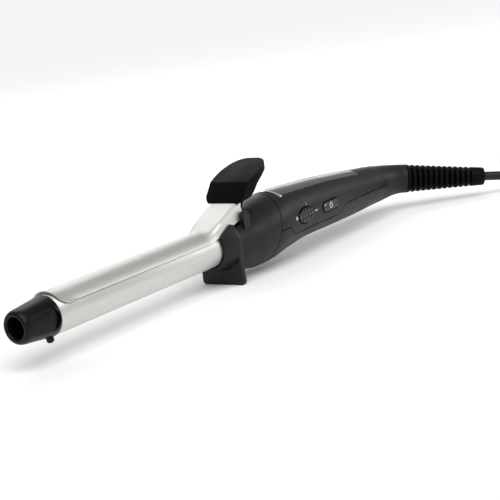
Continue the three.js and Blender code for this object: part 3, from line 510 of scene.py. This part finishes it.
def make_tie():
    """A rubber strap round the hank's waist."""
    middle = HANK_LEFT + HANK_RUN / 2
    half = WAIST_R[1] + CORD_R + 0.4
    low, high = FLOOR_Z + 1, FLOOR_Z + CORD_D + 2 * LAYER + WAIST_LIFT + 0.2
    left, right = HANK_Y - half - STRAP_THICK, HANK_Y + half + STRAP_THICK
    outer = rounded(left, right, low - STRAP_THICK, high + STRAP_THICK, 2.2)
    outer = prism(outer, middle - STRAP_HALF_WIDTH, middle + STRAP_HALF_WIDTH, "X")
    inner = prism(rounded(HANK_Y - half, HANK_Y + half, low, high, 1.4), middle - 5, middle + 5, "X")
    return finished("tie_strap", eased(cut(outer, inner), 0.3, 2), "relief_rubber", "handle", "cord_tie")


plug_pieces = make_plug()
tie = make_tie()

# ---------------------------------------------------------------- barrel and cool tip
BARREL_R = 9.5
BARREL_BACK = 12.5
BARREL_WALL = 0.8
TIP_LENGTH = 20
TIP_GAP = 0.3
TIP_BORE_R = 4.9
TIP_SOCKET_R = 8.4
NUB_TURN = math.radians(-13)  # round the barrel, from straight down


def make_barrel():
    inner = BARREL_R - BARREL_WALL
    profile = [
        (inner, BARREL_FRONT + 0.1),
        (inner + 0.1, BARREL_FRONT),
        (BARREL_R - 0.15, BARREL_FRONT),
        (BARREL_R, BARREL_FRONT + 0.15),
        (BARREL_R, BARREL_BACK),
        (inner, BARREL_BACK),
    ]
    finished("barrel_skin", lathe(profile, 160), "satin_metal", "handle", "barrel_tube", angle=50)


def make_tip():
    rear = BARREL_FRONT - TIP_GAP
    front = BARREL_FRONT - TIP_LENGTH
    profile = [(TIP_BORE_R, front + 11), (5, front + 1.1), (5.15, front + 0.5), (5.6, front + 0.1)]
    profile += [(6.1, front), (6.6, front + 0.15), (7.1, front + 0.5), (7.5, front + 1.1)]
    profile += [(7.8, front + 2), (8, front + 3.2), (8.12, front + 4.4)]
    profile += [(9.25, rear - 4.5), (9.6, rear - 2.2), (9.7, rear - 0.8), (9.55, rear)]
    profile += [(TIP_SOCKET_R, rear), (TIP_SOCKET_R, rear + 9), (1.9, rear + 9), (1.9, front + 11)]
    body = lathe(profile, 128)
    # A finger flat on each side, round at its rear end, sunk along the tip's taper.
    flat = arc(rear - 6.1, 0, 5.8, -90, 90, 24) + [(front + 3.4, 4.8), (front + 3.4, -4.8)]
    flats = []
    for side in (-1, 1):
        slant = [(front, 6.6 * side), (rear, 8 * side), (rear, 20 * side), (front, 20 * side)]
        flats.append(meet(prism(flat, -20, 20, "Y"), prism(slant, -20, 20, "Z")))
    nub = lathe([(0, 0), (1.8, 0), (1.8, 3.2), (1.6, 3.8), (1.2, 4.2), (0.6, 4.4), (0, 4.42)], 32)
    moved(nub, Matrix.Translation((rear - 2.2, 0, -7.45)) @ Matrix.Rotation(math.radians(90), 4, "Y"))
    moved(nub, Matrix.Rotation(NUB_TURN, 4, "X"))
    finished("tip_shell", join(cut(body, *flats), nub), "tip_black", "handle", "cool_tip", angle=40)


# ---------------------------------------------------------------- clamp
CLAMP_R = 10.55
CLAMP_SHEET = 0.55
CLAMP_HALF_ANGLE = math.radians(62.3)
CLAMP_FRONT = -116.1
CLAMP_CORNER_R = 6
CLAMP_FLARE = 0.05  # the front end stands off the barrel by this share of its radius
FLARE_LENGTH = 7
BEND_LOW, BEND_HIGH = -9, 2  # where the tongue bends up off the barrel
TONGUE_SLOPE = math.tan(math.radians(23.5))
FLANGE_Y = 9
FOLD_R = 2.4
PIN = (19.6, 12.1)
PIN_R = 1.1
PIN_HOLE_R = 1.4


def tongue_top(x):
    """The clamp's top: level along the barrel, then bending up into a straight slope."""
    if x < BEND_LOW:
        return CLAMP_R
    if x > BEND_HIGH:
        return CLAMP_R + TONGUE_SLOPE * (x - (BEND_LOW + BEND_HIGH) / 2)
    return CLAMP_R + TONGUE_SLOPE * (x - BEND_LOW) ** 2 / (2 * (BEND_HIGH - BEND_LOW))


def flange_bottom(x):
    """The clamp's lower edge: level along the barrel, then rising to the hinge."""
    edge = CLAMP_R * math.cos(CLAMP_HALF_ANGLE)
    share = min(max((x + 13) / 31, 0), 1)
    return edge + 6.1 * share ** 1.35


def arc_section(share):
    angle = share * CLAMP_HALF_ANGLE
    return CLAMP_R * math.sin(angle), CLAMP_R * math.cos(angle)


def folded_section(share, x):
    """Half of the tongue's section by its length: flat top, rounded fold, side flange."""
    top, bottom = tongue_top(x), flange_bottom(x)
    flat = FLANGE_Y - FOLD_R
    fold = FOLD_R * math.pi / 2
    flange = max(top - FOLD_R - bottom, 0.1)
    along = abs(share) * (flat + fold + flange)
    side = math.copysign(1, share)
    if along < flat:
        return side * along, top
    if along < flat + fold:
        angle = (along - flat) / FOLD_R
        return side * (flat + FOLD_R * math.sin(angle)), top - FOLD_R * (1 - math.cos(angle))
    return side * FLANGE_Y, top - FOLD_R - (along - flat - fold)


def make_clamp():
    across, along_spoon, along_tongue = 72, 60, 70
    tongue_start, tongue_length = BEND_LOW - 4, 35.5
    rows = [CLAMP_FRONT + (tongue_start - CLAMP_FRONT) * i / along_spoon for i in range(along_spoon)]
    rows += [tongue_start + tongue_length * i / along_tongue for i in range(along_tongue + 1)]
    half_arc = CLAMP_R * CLAMP_HALF_ANGLE
    points = []
    for x in rows:
        for j in range(across + 1):
            share = -1 + 2 * j / across
            # The front corners are round: each line across the sheet starts a little further back.
            past = abs(share) * half_arc - (half_arc - CLAMP_CORNER_R)
            corner = CLAMP_CORNER_R - math.sqrt(max(CLAMP_CORNER_R**2 - max(past, 0) ** 2, 0))
            fade = min(max(1 - (x - CLAMP_FRONT) / 40, 0), 1)
            flare = 1 + CLAMP_FLARE * max(1 - (x - CLAMP_FRONT) / FLARE_LENGTH, 0) ** 2
            spoon, folded = [flare * value for value in arc_section(share)], folded_section(share, x)
            blend = smooth((x + 10) / 13)
            points.append(
                (x + corner * fade, mix(spoon[0], folded[0], blend), mix(spoon[1], folded[1], blend))
            )
    faces = []
    for i in range(len(rows) - 1):
        for j in range(across):
            a = i * (across + 1) + j
            faces.append((a, a + 1, a + across + 2, a + across + 1))
    mesh = bpy.data.meshes.new("sheet")
    mesh.from_pydata(points, [], faces)
    sheet = from_mesh(mesh)
    if sheet.data.polygons[0].normal.z < 0:
        sheet.data.flip_normals()
    thick = sheet.modifiers.new("thick", "SOLIDIFY")
    thick.thickness = CLAMP_SHEET
    thick.offset = -1
    baked(sheet)
    # The flanges end in round lugs on the hinge pin, below the paddle.
    side = [(-130, -5), (16, -5), (PIN[0] - 2.1, PIN[1] - 1.3)]
    side += arc(*PIN, 2.4, 215, 440, 24)
    side += [(19.3, 17.2), (19.8, 19.2), (21.4, 20.6), (21.4, 30), (-130, 30)]
    hole = prism(arc(*PIN, PIN_HOLE_R, 0, 350, 35), -20, 20, "Y")
    made = cut(meet(sheet, prism(side, -15, 15, "Y")), hole)
    finished("clamp_sheet", made, "satin_metal", "clamp_lever", "clamp", angle=40)


# ---------------------------------------------------------------- thumb paddle
def tongue_line(x, drop=0.0):
    """The height of the tongue's straight slope, or of a line below it."""
    return CLAMP_R + TONGUE_SLOPE * (x - (BEND_LOW + BEND_HIGH) / 2) - drop


def bezier(*knots, steps=14):
    """Points along a cubic curve through its first knot, without its last."""
    points = []
    for i in range(steps):
        t = i / steps
        s = 1 - t
        weights = (s**3, 3 * s * s * t, 3 * s * t * t, t**3)
        points.append(tuple(sum(weight * knot[k] for weight, knot in zip(weights, knots)) for k in (0, 1)))
    return points


def make_paddle():
    # Side view: a steep lower pad, a crease and a flatter upper pad, thick at the foot and thin at the end.
    profile = [(16.4, 18.9)]
    profile += bezier((23.4, 28), (24.1, 28.9), (24.2, 29.05), (25.2, 29.4), steps=6)
    profile += [(34, 32.7), (47, 36.9), (46.6, 33.7), (38, 30.4)]
    profile += bezier((33, 27.8), (29, 25), (27, 22.4), (25.5, 19.6), steps=8)
    # Seen from above: a leaf with round corners at its foot, widest past the crease.
    wide, far = 12.7, 47.3
    leaf = bezier((16.2, -9), (16.4, -10.8), (17, -12), (19, -12.3), steps=8)
    leaf += bezier((19, -12.3), (22, -12), (25, -12), (29, -wide))
    leaf += bezier((29, -wide), (41, -wide), (far, -9.8), (far, 0))
    leaf += bezier((far, 0), (far, 9.8), (41, wide), (29, wide))
    leaf += bezier((29, wide), (25, 12), (22, 12), (19, 12.3))
    leaf += bezier((19, 12.3), (17, 12), (16.4, 10.8), (16.2, 9), steps=8)
    leaf.append((16.2, 9))
    # Seen from the front, its two lower corners are well rounded.
    front_view = rounded(-12.6, 12.6, 18.5, 60, 6.2, 16)
    pad = meet(prism(profile, -14, 14, "Y"), prism(leaf, 10, 45, "Z"), prism(front_view, 10, 50, "X"))
    pad = eased(pad, 0.85, 3, 48)
    # A block below it fills the tongue between the flanges, down to the hinge pin.
    drop = 1.1
    block = [(8, tongue_line(8, drop)), (10, 11.4), (PIN[0] - 2.1, PIN[1] - 1.4)]
    block += arc(*PIN, 2.5, 214, 360, 16)
    block += [(PIN[0] + 2.5, 17), (24.6, 20.8), (24.6, tongue_line(24.6, drop))]
    core = prism(block, -8, 8, "Y")
    sheet = [(0, tongue_line(0, drop)), (21.8, tongue_line(21.8, drop))]
    sheet += [(21.8, tongue_line(21.8, -0.05)), (0, tongue_line(0, -0.05))]
    spring_room = prism([(6, 5), (30, 5), (30, PIN[1] + 3.4), (6, PIN[1] + 3.4)], -3.3, 3.3, "Y")
    hole = prism(arc(*PIN, PIN_HOLE_R, 0, 345, 23), -20, 20, "Y")
    made = cut(join(pad, core), prism(sheet, -9.3, 9.3, "Y"), spring_room, hole)
    finished("paddle_pad", made, "paddle_black", "clamp_lever", "thumb_paddle", angle=38)


# ---------------------------------------------------------------- the grip's outer form
# Each station is (x, top, bottom, half width). The nose swells from the stand plate to the seam, and the
# handle tapers from there to the tail.
STATIONS = [
    (10.5, 10.8, -13.4, 12.9),
    (20, 12.4, -15.9, 14.2),
    (30, 14.4, -17.8, 15.3),
    (43, 16.9, -17.4, 16.2),
    (55, 17.9, -15.4, 16.1),
    (75, 17.1, -13.4, 14.9),
    (100, 15.4, -13.3, 14),
    (125, 12.8, -13.2, 12.7),
    (150, 9.9, -12.5, 10.9),
    (160, 8.7, -12.4, 10.2),
]
SEAM_X, SEAM_LEAN = 41.4, 0.345
TAIL_SEAM_X, TAIL_SEAM_LEAN = 155.7, 0.2
WALL = 2.2
GAP = 0.3
SEAM_GAP = 0.5  # where two outer pieces show a dark line between them


def grip_at(x):
    """The grip's middle, half height and half width at an X, on smooth curves through the stations."""
    last = len(STATIONS) - 1
    index = max(next((i for i, station in enumerate(STATIONS) if station[0] >= x), last), 1)
    before, after = STATIONS[index - 1], STATIONS[index]
    share = min(max((x - before[0]) / (after[0] - before[0]), 0), 1)
    far_before = STATIONS[max(index - 2, 0)]
    far_after = STATIONS[min(index + 1, last)]

    def along(column):
        a, b, c, d = (station[column] for station in (far_before, before, after, far_after))
        leave, arrive = (c - a) / 2, (d - b) / 2
        cubic = (2 * b - 2 * c + leave + arrive) * share**3
        return cubic + (3 * c - 3 * b - 2 * leave - arrive) * share**2 + leave * share + b

    top, bottom, half_width = along(1), along(2), along(3)
    return (top + bottom) / 2, (top - bottom) / 2, half_width


def grip(x_low, x_high, inset, step=1.5, around=128):
    """The grip's form between two X, made thinner all round by an inset."""
    steps = max(int((x_high - x_low) / step), 2)
    rings = []
    for i in range(steps + 1):
        x = mix(x_low, x_high, i / steps)
        middle, half_height, half_width = grip_at(x)
        ring = []
        for j in range(around):
            angle = 2 * math.pi * j / around
            y = (half_width - inset) * math.cos(angle)
            ring.append((x, y, middle + (half_height - inset) * math.sin(angle)))
        rings.append(ring)
    return loft(rings)


def behind(x, lean, x_high=260):
    """Everything behind a leaning plane across the barrel."""
    return prism([(x - 40 * lean, -40), (x_high, -40), (x_high, 40), (x + 40 * lean, 40)], -40, 40, "Y")


def in_front_of(x, lean, x_low=-20):
    """Everything in front of a leaning plane across the barrel."""
    return prism([(x_low, -40), (x - 40 * lean, -40), (x + 40 * lean, 40), (x_low, 40)], -40, 40, "Y")


# ---------------------------------------------------------------- stand and nose
COLLAR_LENGTH = 7.8
COLLAR_RISE = 1.15  # the collar's upper half is this much taller than round
PLATE_THICK = 3
PLATE_R = 13.7
FOOT_HALF_WIDTH, FOOT_CORNER_R = 13.2, 2
RECESS_R, RECESS_BACK = 10.3, 3.6  # a dark ring between the collar's mouth and the barrel
NOSE_FRONT = COLLAR_LENGTH + PLATE_THICK + GAP
CHANNEL_Y = FLANGE_Y + GAP
CHEEK_Y = 11.6
LUG_R = 2.6
PIN_BLIND_Y = 10.8  # the pin's hole ends inside the cheek on the keys' side
CHANNEL_BACK = 24.6
CHANNEL_FLOOR = 5.6
LEAD_ROOM_R = 4


def make_stand():
    """The collar round the barrel, its plate and the foot, with room for the clamp's tongue."""
    cone = [(0, -0.8), (10.65, -0.8), (10.9, -0.65), (11.1, -0.2), (13.6, COLLAR_LENGTH)]
    cone += [(13.6, COLLAR_LENGTH + 0.5), (0, COLLAR_LENGTH + 0.5)]
    upper, lower = lathe(cone, 128), lathe(cone, 128)
    below, above = (
        prism([(-20, low), (20, low), (20, low + 20), (-20, low + 20)], -5, 20, "X") for low in (-20, 0)
    )
    upper = moved(meet(upper, above), Matrix.Diagonal((1, 1, COLLAR_RISE, 1)))
    collar = join(meet(lower, below), upper)
    corner_y, corner_z = FOOT_HALF_WIDTH - FOOT_CORNER_R, FLOOR_Z + FOOT_CORNER_R
    face = arc(0, 0, PLATE_R, -24, 204, 72)
    face += arc(-corner_y, corner_z, FOOT_CORNER_R, 180, 270, 8)
    face += arc(corner_y, corner_z, FOOT_CORNER_R, 270, 360, 8)
    plate = eased(prism(face, COLLAR_LENGTH, COLLAR_LENGTH + PLATE_THICK, "X"), 0.45, 3, 60)
    bore = join(rod(BARREL_R + GAP, -5, 20, 128), rod(RECESS_R, -5, RECESS_BACK, 128))
    ears = [(-3, 5.6), (COLLAR_LENGTH + 1.2, 11.1), (14, 11.1), (14, 30), (-3, 30)]
    channel = [(-3, CHANNEL_FLOOR - 1.2), (3, CHANNEL_FLOOR - 0.2), (14, CHANNEL_FLOOR), (14, 30), (-3, 30)]
    room = prism(channel, -CHANNEL_Y, CHANNEL_Y, "Y")
    made = cut(join(collar, plate), bore, prism(ears, -20, 20, "Y"), room)
    finished("stand", made, "soft_black", "handle", "stand_collar")


def make_nose():
    """The cone in front of the shells: hollow, open at the top for the clamp, with two lugs for the pin."""
    form = meet(grip(NOSE_FRONT - 0.5, 52, 0), behind(NOSE_FRONT, 0), in_front_of(SEAM_X, SEAM_LEAN))
    cavity = meet(grip(NOSE_FRONT - 0.5, 56, WALL), behind(NOSE_FRONT + 2.6, 0))
    lug_low, lug_high = PIN[0] - LUG_R, PIN[0] + LUG_R
    cheek = [(lug_low, 2), (lug_low, PIN[1]), (lug_high, PIN[1]), (lug_high, 2)]
    sides = []
    for low, high in ((-CHEEK_Y, -CHANNEL_Y), (CHANNEL_Y, CHEEK_Y)):
        sides.append(prism(cheek, low, high, "Y"))
        sides.append(prism(arc(*PIN, LUG_R, 0, 352, 44), low, high, "Y"))
    channel = [(0, CHANNEL_FLOOR), (PIN[0] - 3, PIN[1] - 3.6), (PIN[0], PIN[1] - 3)]
    channel += [(CHANNEL_BACK, PIN[1] - 3), (CHANNEL_BACK, 40), (0, 40)]
    room_back = CHANNEL_BACK + 2.2
    paddle_room = [(CHANNEL_BACK - 1, 9), (room_back, 13), (room_back, 40), (0, 40), (0, 15)]
    rooms = [prism(outline, -CHANNEL_Y, CHANNEL_Y, "Y") for outline in (channel, paddle_room)]
    rooms.append(rod(BARREL_R + GAP, 0, BARREL_BACK + GAP, 128))
    rooms.append(rod(LEAD_ROOM_R, 0, 20))
    rooms.append(prism(arc(*PIN, PIN_HOLE_R, 0, 345, 23), -PIN_BLIND_Y, 20, "Y"))
    made = cut(join(cut(form, cavity), *sides), *rooms)
    finished("nose", made, "soft_black", "handle", "nose_cone")


# ---------------------------------------------------------------- handle
# The line where the two shells meet steps down below the keys and comes back up behind them.
PARTING = [
    (30, -0.8), (49.5, -0.8), (55, -5.8), (99, -5.8), (102.5, -4.8), (106.6, -1.2), (134, -1.2), (170, -2.4),
]
PANEL_FRONT, PANEL_BACK = 53.2, 132
PANEL_HALF_FRONT, PANEL_HALF_BACK = 8.9, 7.1
ROCKER_X, ROCKER_Z, ROCKER_HALF_LENGTH, ROCKER_HALF_HEIGHT = 65.6, 1.8, 7.3, 3.9
KEY_LOW, KEY_HIGH, KEY_BOTTOM, KEY_TOP, KEY_CORNER = 83.2, 98, -1.1, 3.8, 1.8
KEY_INSIDE_Y, KEY_OUTSIDE_Y = -11, -18
KEY_GAP = 0.65
KEYS_SIDE = (-20, -8)  # the stretch of Y that holds the handle's wall by the keys
ROCKER_PROUD = 0.6
KEY_PROUD = 0.45
GROOVE_DEPTH_Y = -12
ROCKER_GROOVE_HALF = 0.28
KEY_GROOVE_HALF = 0.3
KEYS_FRONT, KEYS_BACK = 50, 112
SHELL_SCREW_X = (70, 138)
SCREW_WELL_R, SCREW_POST_R = 2.6, 3.2


def spread(half):
    """Twenty-one values, evenly from half down to -half."""
    return [half * (1 - i / 10) for i in range(21)]


def panel_plan(margin):
    """The glossy panel's outline from above, its front end following the chrome arc."""
    front, back = PANEL_FRONT - margin, PANEL_BACK + margin
    half_back, half_front = PANEL_HALF_BACK + margin, PANEL_HALF_FRONT + margin
    fore = [(front + 0.4 + 1.5 * (y / half_front) ** 2, y) for y in spread(half_front)]
    return [(back, -half_back), (back, half_back), *fore]


def trim_plan(margin):
    """The chrome arc's outline from above."""
    front, width, half = PANEL_FRONT - 2.35, 1.6, 9.6

    def edge(x, spots):
        return [(x + 1.8 * (y / half) ** 2, y) for y in spots]

    spots = spread(half + margin)
    return edge(front - margin, spots) + edge(front + width + margin, reversed(spots))


def rocker_outline(margin):
    """The rocker's oval, seen from the side."""
    points = []
    for i in range(64):
        angle = 2 * math.pi * i / 64
        x = ROCKER_X + (ROCKER_HALF_LENGTH + margin) * math.cos(angle)
        points.append((x, ROCKER_Z + (ROCKER_HALF_HEIGHT + margin) * math.sin(angle)))
    return points


def key_outline(margin):
    sides = (KEY_LOW - margin, KEY_HIGH + margin, KEY_BOTTOM - margin, KEY_TOP + margin)
    return rounded(*sides, KEY_CORNER + margin, 6)


def handle_form(inset):
    """The handle's form, running a little past the shells at both ends."""
    return grip(36, TAIL_SEAM_X + 8, inset)


def on_floor(x, radius, foot, low, high):
    """An upright rod over a spot on the lower shell."""
    upright = Matrix.Rotation(math.radians(-90), 4, "Y")
    return moved(rod(radius, low, high, 48), Matrix.Translation((x, 0, foot)) @ upright)


def make_shells():
    ends = meet(behind(SEAM_X + SEAM_GAP, SEAM_LEAN, 200), in_front_of(TAIL_SEAM_X, TAIL_SEAM_LEAN, 20))
    wall = cut(meet(handle_form(0), ends), handle_form(WALL))
    lower = from_mesh(wall.data.copy())
    above = prism([*PARTING, (170, 40), (30, 40)], -40, 40, "Y")
    below = prism([*((x, z - SEAM_GAP) for x, z in PARTING), (170, -40), (30, -40)], -40, 40, "Y")
    panel_bed = cut(prism(panel_plan(SEAM_GAP), 4, 25, "Z"), handle_form(1.6))
    trim_bed = cut(prism(trim_plan(0.12), 8, 25, "Z"), handle_form(1.3))
    holes = [prism(outline(KEY_GAP), *KEYS_SIDE, "Y") for outline in (rocker_outline, key_outline)]
    upper = cut(meet(wall, above), panel_bed, trim_bed, *holes)
    finished("handle_upper", upper, "soft_black", "handle", "upper_shell")
    wells = [on_floor(x, SCREW_WELL_R, -12, -4, 1.4) for x in SHELL_SCREW_X]
    posts = [meet(on_floor(x, SCREW_POST_R, -11.6, 0, 9), handle_form(0.6)) for x in SHELL_SCREW_X]
    lower = cut(join(meet(lower, below), *posts), *wells)
    finished("handle_lower", lower, "soft_black", "handle", "lower_shell")


def make_trim():
    panel = cut(meet(handle_form(0.05), prism(panel_plan(0), 4, 25, "Z")), handle_form(1.3))
    finished("panel_gloss", panel, "gloss_black", "handle", "top_panel")
    bow = cut(meet(handle_form(-0.35), prism(trim_plan(0), 8, 25, "Z")), handle_form(1))
    finished("trim_arc", bow, "chrome", "handle", "chrome_arc")


def keys_form(proud):
    """The grip's form along the keys, standing off the handle's surface by a little."""
    return grip(KEYS_FRONT, KEYS_BACK, -proud)


def inlay(name, outlines, body="handle", proud=0.05):
    """Printed marks: a skin of ink on the handle's side, or on a key."""
    marks = [prism(outline, *KEYS_SIDE, "Y") for outline in outlines]
    marks = join(marks[0], *marks[1:]) if len(marks) > 1 else marks[0]
    ink = cut(meet(keys_form(proud), marks), keys_form(-proud))
    finished(name, ink, None, body)


def bar_outline(x, z, half_x, half_z):
    low_x, high_x, low_z, high_z = x - half_x, x + half_x, z - half_z, z + half_z
    return [(low_x, low_z), (high_x, low_z), (high_x, high_z), (low_x, high_z)]


def groove(x, z, half_x, half_z):
    return prism(bar_outline(x, z, half_x, half_z), KEY_OUTSIDE_Y, GROOVE_DEPTH_Y, "Y")


def make_rocker():
    """An oval key with a lattice of grooves."""
    rocker = meet(prism(rocker_outline(0), KEY_OUTSIDE_Y, KEY_INSIDE_Y, "Y"), keys_form(ROCKER_PROUD))
    grooves = [groove(ROCKER_X + dx, ROCKER_Z, ROCKER_GROOVE_HALF, 5) for dx in (-4.2, -1.4, 1.4, 4.2)]
    grooves += [groove(ROCKER_X, ROCKER_Z + dz, 8, ROCKER_GROOVE_HALF) for dz in (-1.3, 1.3)]
    rocker = cut(rocker, cut(join(*grooves), keys_form(0)))
    finished("rocker_key", rocker, "key_black", "rocker", "temperature_rocker")


def make_power_key():
    """A key with a groove along its middle, a generic power sign and a lamp."""
    key = meet(prism(key_outline(0), KEY_OUTSIDE_Y, KEY_INSIDE_Y, "Y"), keys_form(KEY_PROUD))
    middle = (KEY_BOTTOM + KEY_TOP) / 2
    across = (KEY_LOW + KEY_HIGH) / 2
    key = cut(key, cut(groove(across, middle, 6.6, KEY_GROOVE_HALF), keys_form(0.1)))
    finished("power_key_cap", key, "key_black", "power_button", "power_key")
    # The sign is a broken ring and a stroke.
    ring = arc(across, middle, 1.5, 125, 415, 24) + arc(across, middle, 1.1, 415, 125, 24)
    outlines = [ring, bar_outline(across, middle + 1.2, 0.22, 0.9)]
    inlay("power_sign", outlines, "power_button", 0.52)
    inlay("lamp", [arc(KEY_LOW + 1.6, KEY_TOP - 1.2, 0.42, 0, 340, 17)], "power_button", 0.55)


def make_marks():
    """The marks round the rocker: plus in front of it, minus behind it and a tick above it."""
    inlay("plus_mark", [bar_outline(56.3, 2, 1.1, 0.28), bar_outline(56.3, 2, 0.28, 1.1)])
    inlay("minus_mark", [bar_outline(76.2, 1.9, 1.2, 0.28)])
    inlay("tick_mark", [bar_outline(68.3, 7.2, 0.14, 0.6)])


# ---------------------------------------------------------------- tail and strain relief
RELIEF_BASE = Vector((177.4, -9, -3.1))
RELIEF_TIP = Vector((210.5, -42.5, -9.4))
RELIEF_BASE_R = 8.3
RELIEF_TIP_R = 5.2
NOTCH_DEPTH = 2.5
NOTCH_SHARE = 0.5  # of the pitch, left open between two ribs
RELIEF_RIBS = 12
RELIEF_NECK_R = 4.9
TAIL_SOCKET_R = 5.2
RELIEF_LENGTH = (RELIEF_TIP - RELIEF_BASE).length
RELIEF_AXIS = (RELIEF_TIP - RELIEF_BASE).normalized()
ALONG_RELIEF = (
    Matrix.Translation(RELIEF_BASE) @ Vector((1, 0, 0)).rotation_difference(RELIEF_AXIS).to_matrix().to_4x4()
)


def tail_form(start_x, around=96, along=48):
    """A tube that bends from the handle's axis to the cord's, going from oval to round."""
    middle, half_height, half_width = grip_at(TAIL_SEAM_X)
    start = Vector((start_x, 0, middle))
    reach = (RELIEF_BASE - start).length * 0.36
    knots = (start, start + Vector((reach, 0, -0.06 * reach)), RELIEF_BASE - RELIEF_AXIS * reach, RELIEF_BASE)
    rings = []
    for i in range(along + 1):
        t = i / along
        s = 1 - t
        weights = (s**3, 3 * s * s * t, 3 * s * t * t, t**3)
        centre = sum((knot * weight for knot, weight in zip(knots, weights)), Vector())
        steps = zip(knots, knots[1:], (s * s, 2 * s * t, t * t))
        ahead = sum(((after - before) * weight for before, after, weight in steps), Vector()).normalized()
        sideways = Vector((0, 0, 1)).cross(ahead).normalized()
        upwards = ahead.cross(sideways)
        width, height = (mix(size, RELIEF_BASE_R, smooth(t)) for size in (half_width, half_height))
        angles = [2 * math.pi * j / around for j in range(around)]
        rings.append(
            [centre + sideways * width * math.cos(a) + upwards * height * math.sin(a) for a in angles]
        )
    return loft(rings)


def make_tail():
    socket = moved(rod(TAIL_SOCKET_R, -9, 6), ALONG_RELIEF)
    made = cut(meet(tail_form(TAIL_SEAM_X - 4), behind(TAIL_SEAM_X + GAP, TAIL_SEAM_LEAN)), socket)
    finished("tail", made, "soft_black", "handle", "tail_cap")


def make_relief():
    """A core with ribs round it and a plain ring at its end."""
    pitch = (RELIEF_LENGTH - 8.5) / RELIEF_RIBS

    def radius_at(x):
        return mix(RELIEF_BASE_R, RELIEF_TIP_R, x / RELIEF_LENGTH)

    profile = [(2.9, -7.5), (RELIEF_NECK_R, -7.5), (RELIEF_NECK_R, GAP)]
    profile += [(RELIEF_BASE_R - 0.2, GAP), (RELIEF_BASE_R, GAP + 0.2)]
    for rib in range(RELIEF_RIBS):
        end = 2 + rib * pitch
        radius, after = radius_at(end), radius_at(end + pitch)
        start = end + NOTCH_SHARE * pitch
        profile += [(radius - 0.15, end), (radius - 0.4, end + 0.15), (radius - NOTCH_DEPTH, end + 0.25)]
        profile += [(after - NOTCH_DEPTH, start - 0.25), (after - 0.4, start - 0.15), (after - 0.15, start)]
        profile += [(after, start + 0.3)]
    profile += [(RELIEF_TIP_R, RELIEF_LENGTH - 0.7), (RELIEF_TIP_R - 0.25, RELIEF_LENGTH - 0.2)]
    profile += [(RELIEF_TIP_R - 0.7, RELIEF_LENGTH), (CORD_R + 0.15, RELIEF_LENGTH), (CORD_R + 0.15, 2)]
    made = moved(lathe(profile, 96), ALONG_RELIEF)
    return finished("relief", made, "relief_rubber", "swivel", "strain_relief")


def make_pin():
    """The hinge pin, pushed in from the side without keys, with chamfered ends."""
    low, high, chamfer = GAP - PIN_BLIND_Y, CHEEK_Y, 0.3
    profile = [(0, low), (0.8, low), (PIN_R, low + chamfer)]
    profile += [(PIN_R, high - chamfer), (0.8, high), (0, high)]
    made = lathe(profile, 48)
    turn = Matrix.Translation((PIN[0], 0, PIN[1])) @ Matrix.Rotation(math.radians(90), 4, "Z")
    finished("pin", moved(made, turn), "steel", "handle", "hinge_pin")


make_barrel()
make_tip()
make_clamp()
make_paddle()
make_stand()
make_nose()
make_shells()
make_trim()
make_rocker()
make_power_key()
make_marks()
make_tail()
relief = make_relief()
make_pin()

round(curve_length(cord), 3)


# ---------------------------------------------------------------- studio
def make_floor():
    mesh = bpy.data.meshes.new("floor")
    half = 40.0
    corners = [(-half, -half, 0), (half, -half, 0), (half, half, 0), (-half, half, 0)]
    mesh.from_pydata(corners, [], [(0, 1, 2, 3)])
    floor = from_mesh(mesh)
    floor.name = "floor"
    mesh.materials.append(material("floor", (0.97, 0.97, 0.97), 0.9))


def area_light(name, at, aim, size, power):
    """A rectangular soft box; at and aim are in the CAD frame, in metres."""
    data = bpy.data.lights.new(name, "AREA")
    data.shape = "RECTANGLE"
    data.size, data.size_y = size
    data.energy = power
    light = bpy.data.objects.new(name, data)
    light.location = at
    light.rotation_euler = (Vector(aim) - Vector(at)).to_track_quat("-Z", "Y").to_euler()
    scene.collection.objects.link(light)


def sun(toward, strength, spread):
    """A broad, even light from a direction, with a spread in degrees."""
    data = bpy.data.lights.new("sun", "SUN")
    data.energy = strength
    data.angle = math.radians(spread)
    light = bpy.data.objects.new("sun", data)
    light.rotation_euler = (-Vector(toward)).to_track_quat("-Z", "Y").to_euler()
    scene.collection.objects.link(light)


make_floor()
sun((-0.35, -0.45, 0.82), 2.1, 60)
area_light("above", (0.42, 0.66, 0.8), (0, 0, 0.03), (0.8, 0.6), 2.4)
area_light("right", (0.85, -0.75, 0.42), (0.02, 0, 0.02), (0.8, 0.4), 2.6)
area_light("behind", (0.9, 0.75, 0.3), (0.05, 0, 0.03), (0.7, 0.25), 1.0)
world = bpy.data.worlds.new("studio")
world.use_nodes = True
world.node_tree.nodes["Background"].inputs["Color"].default_value = (1, 1, 1, 1)
world.node_tree.nodes["Background"].inputs["Strength"].default_value = 0.42
scene.world = world
scene.view_settings.view_transform = "Standard"

bpy.context.view_layer.update()
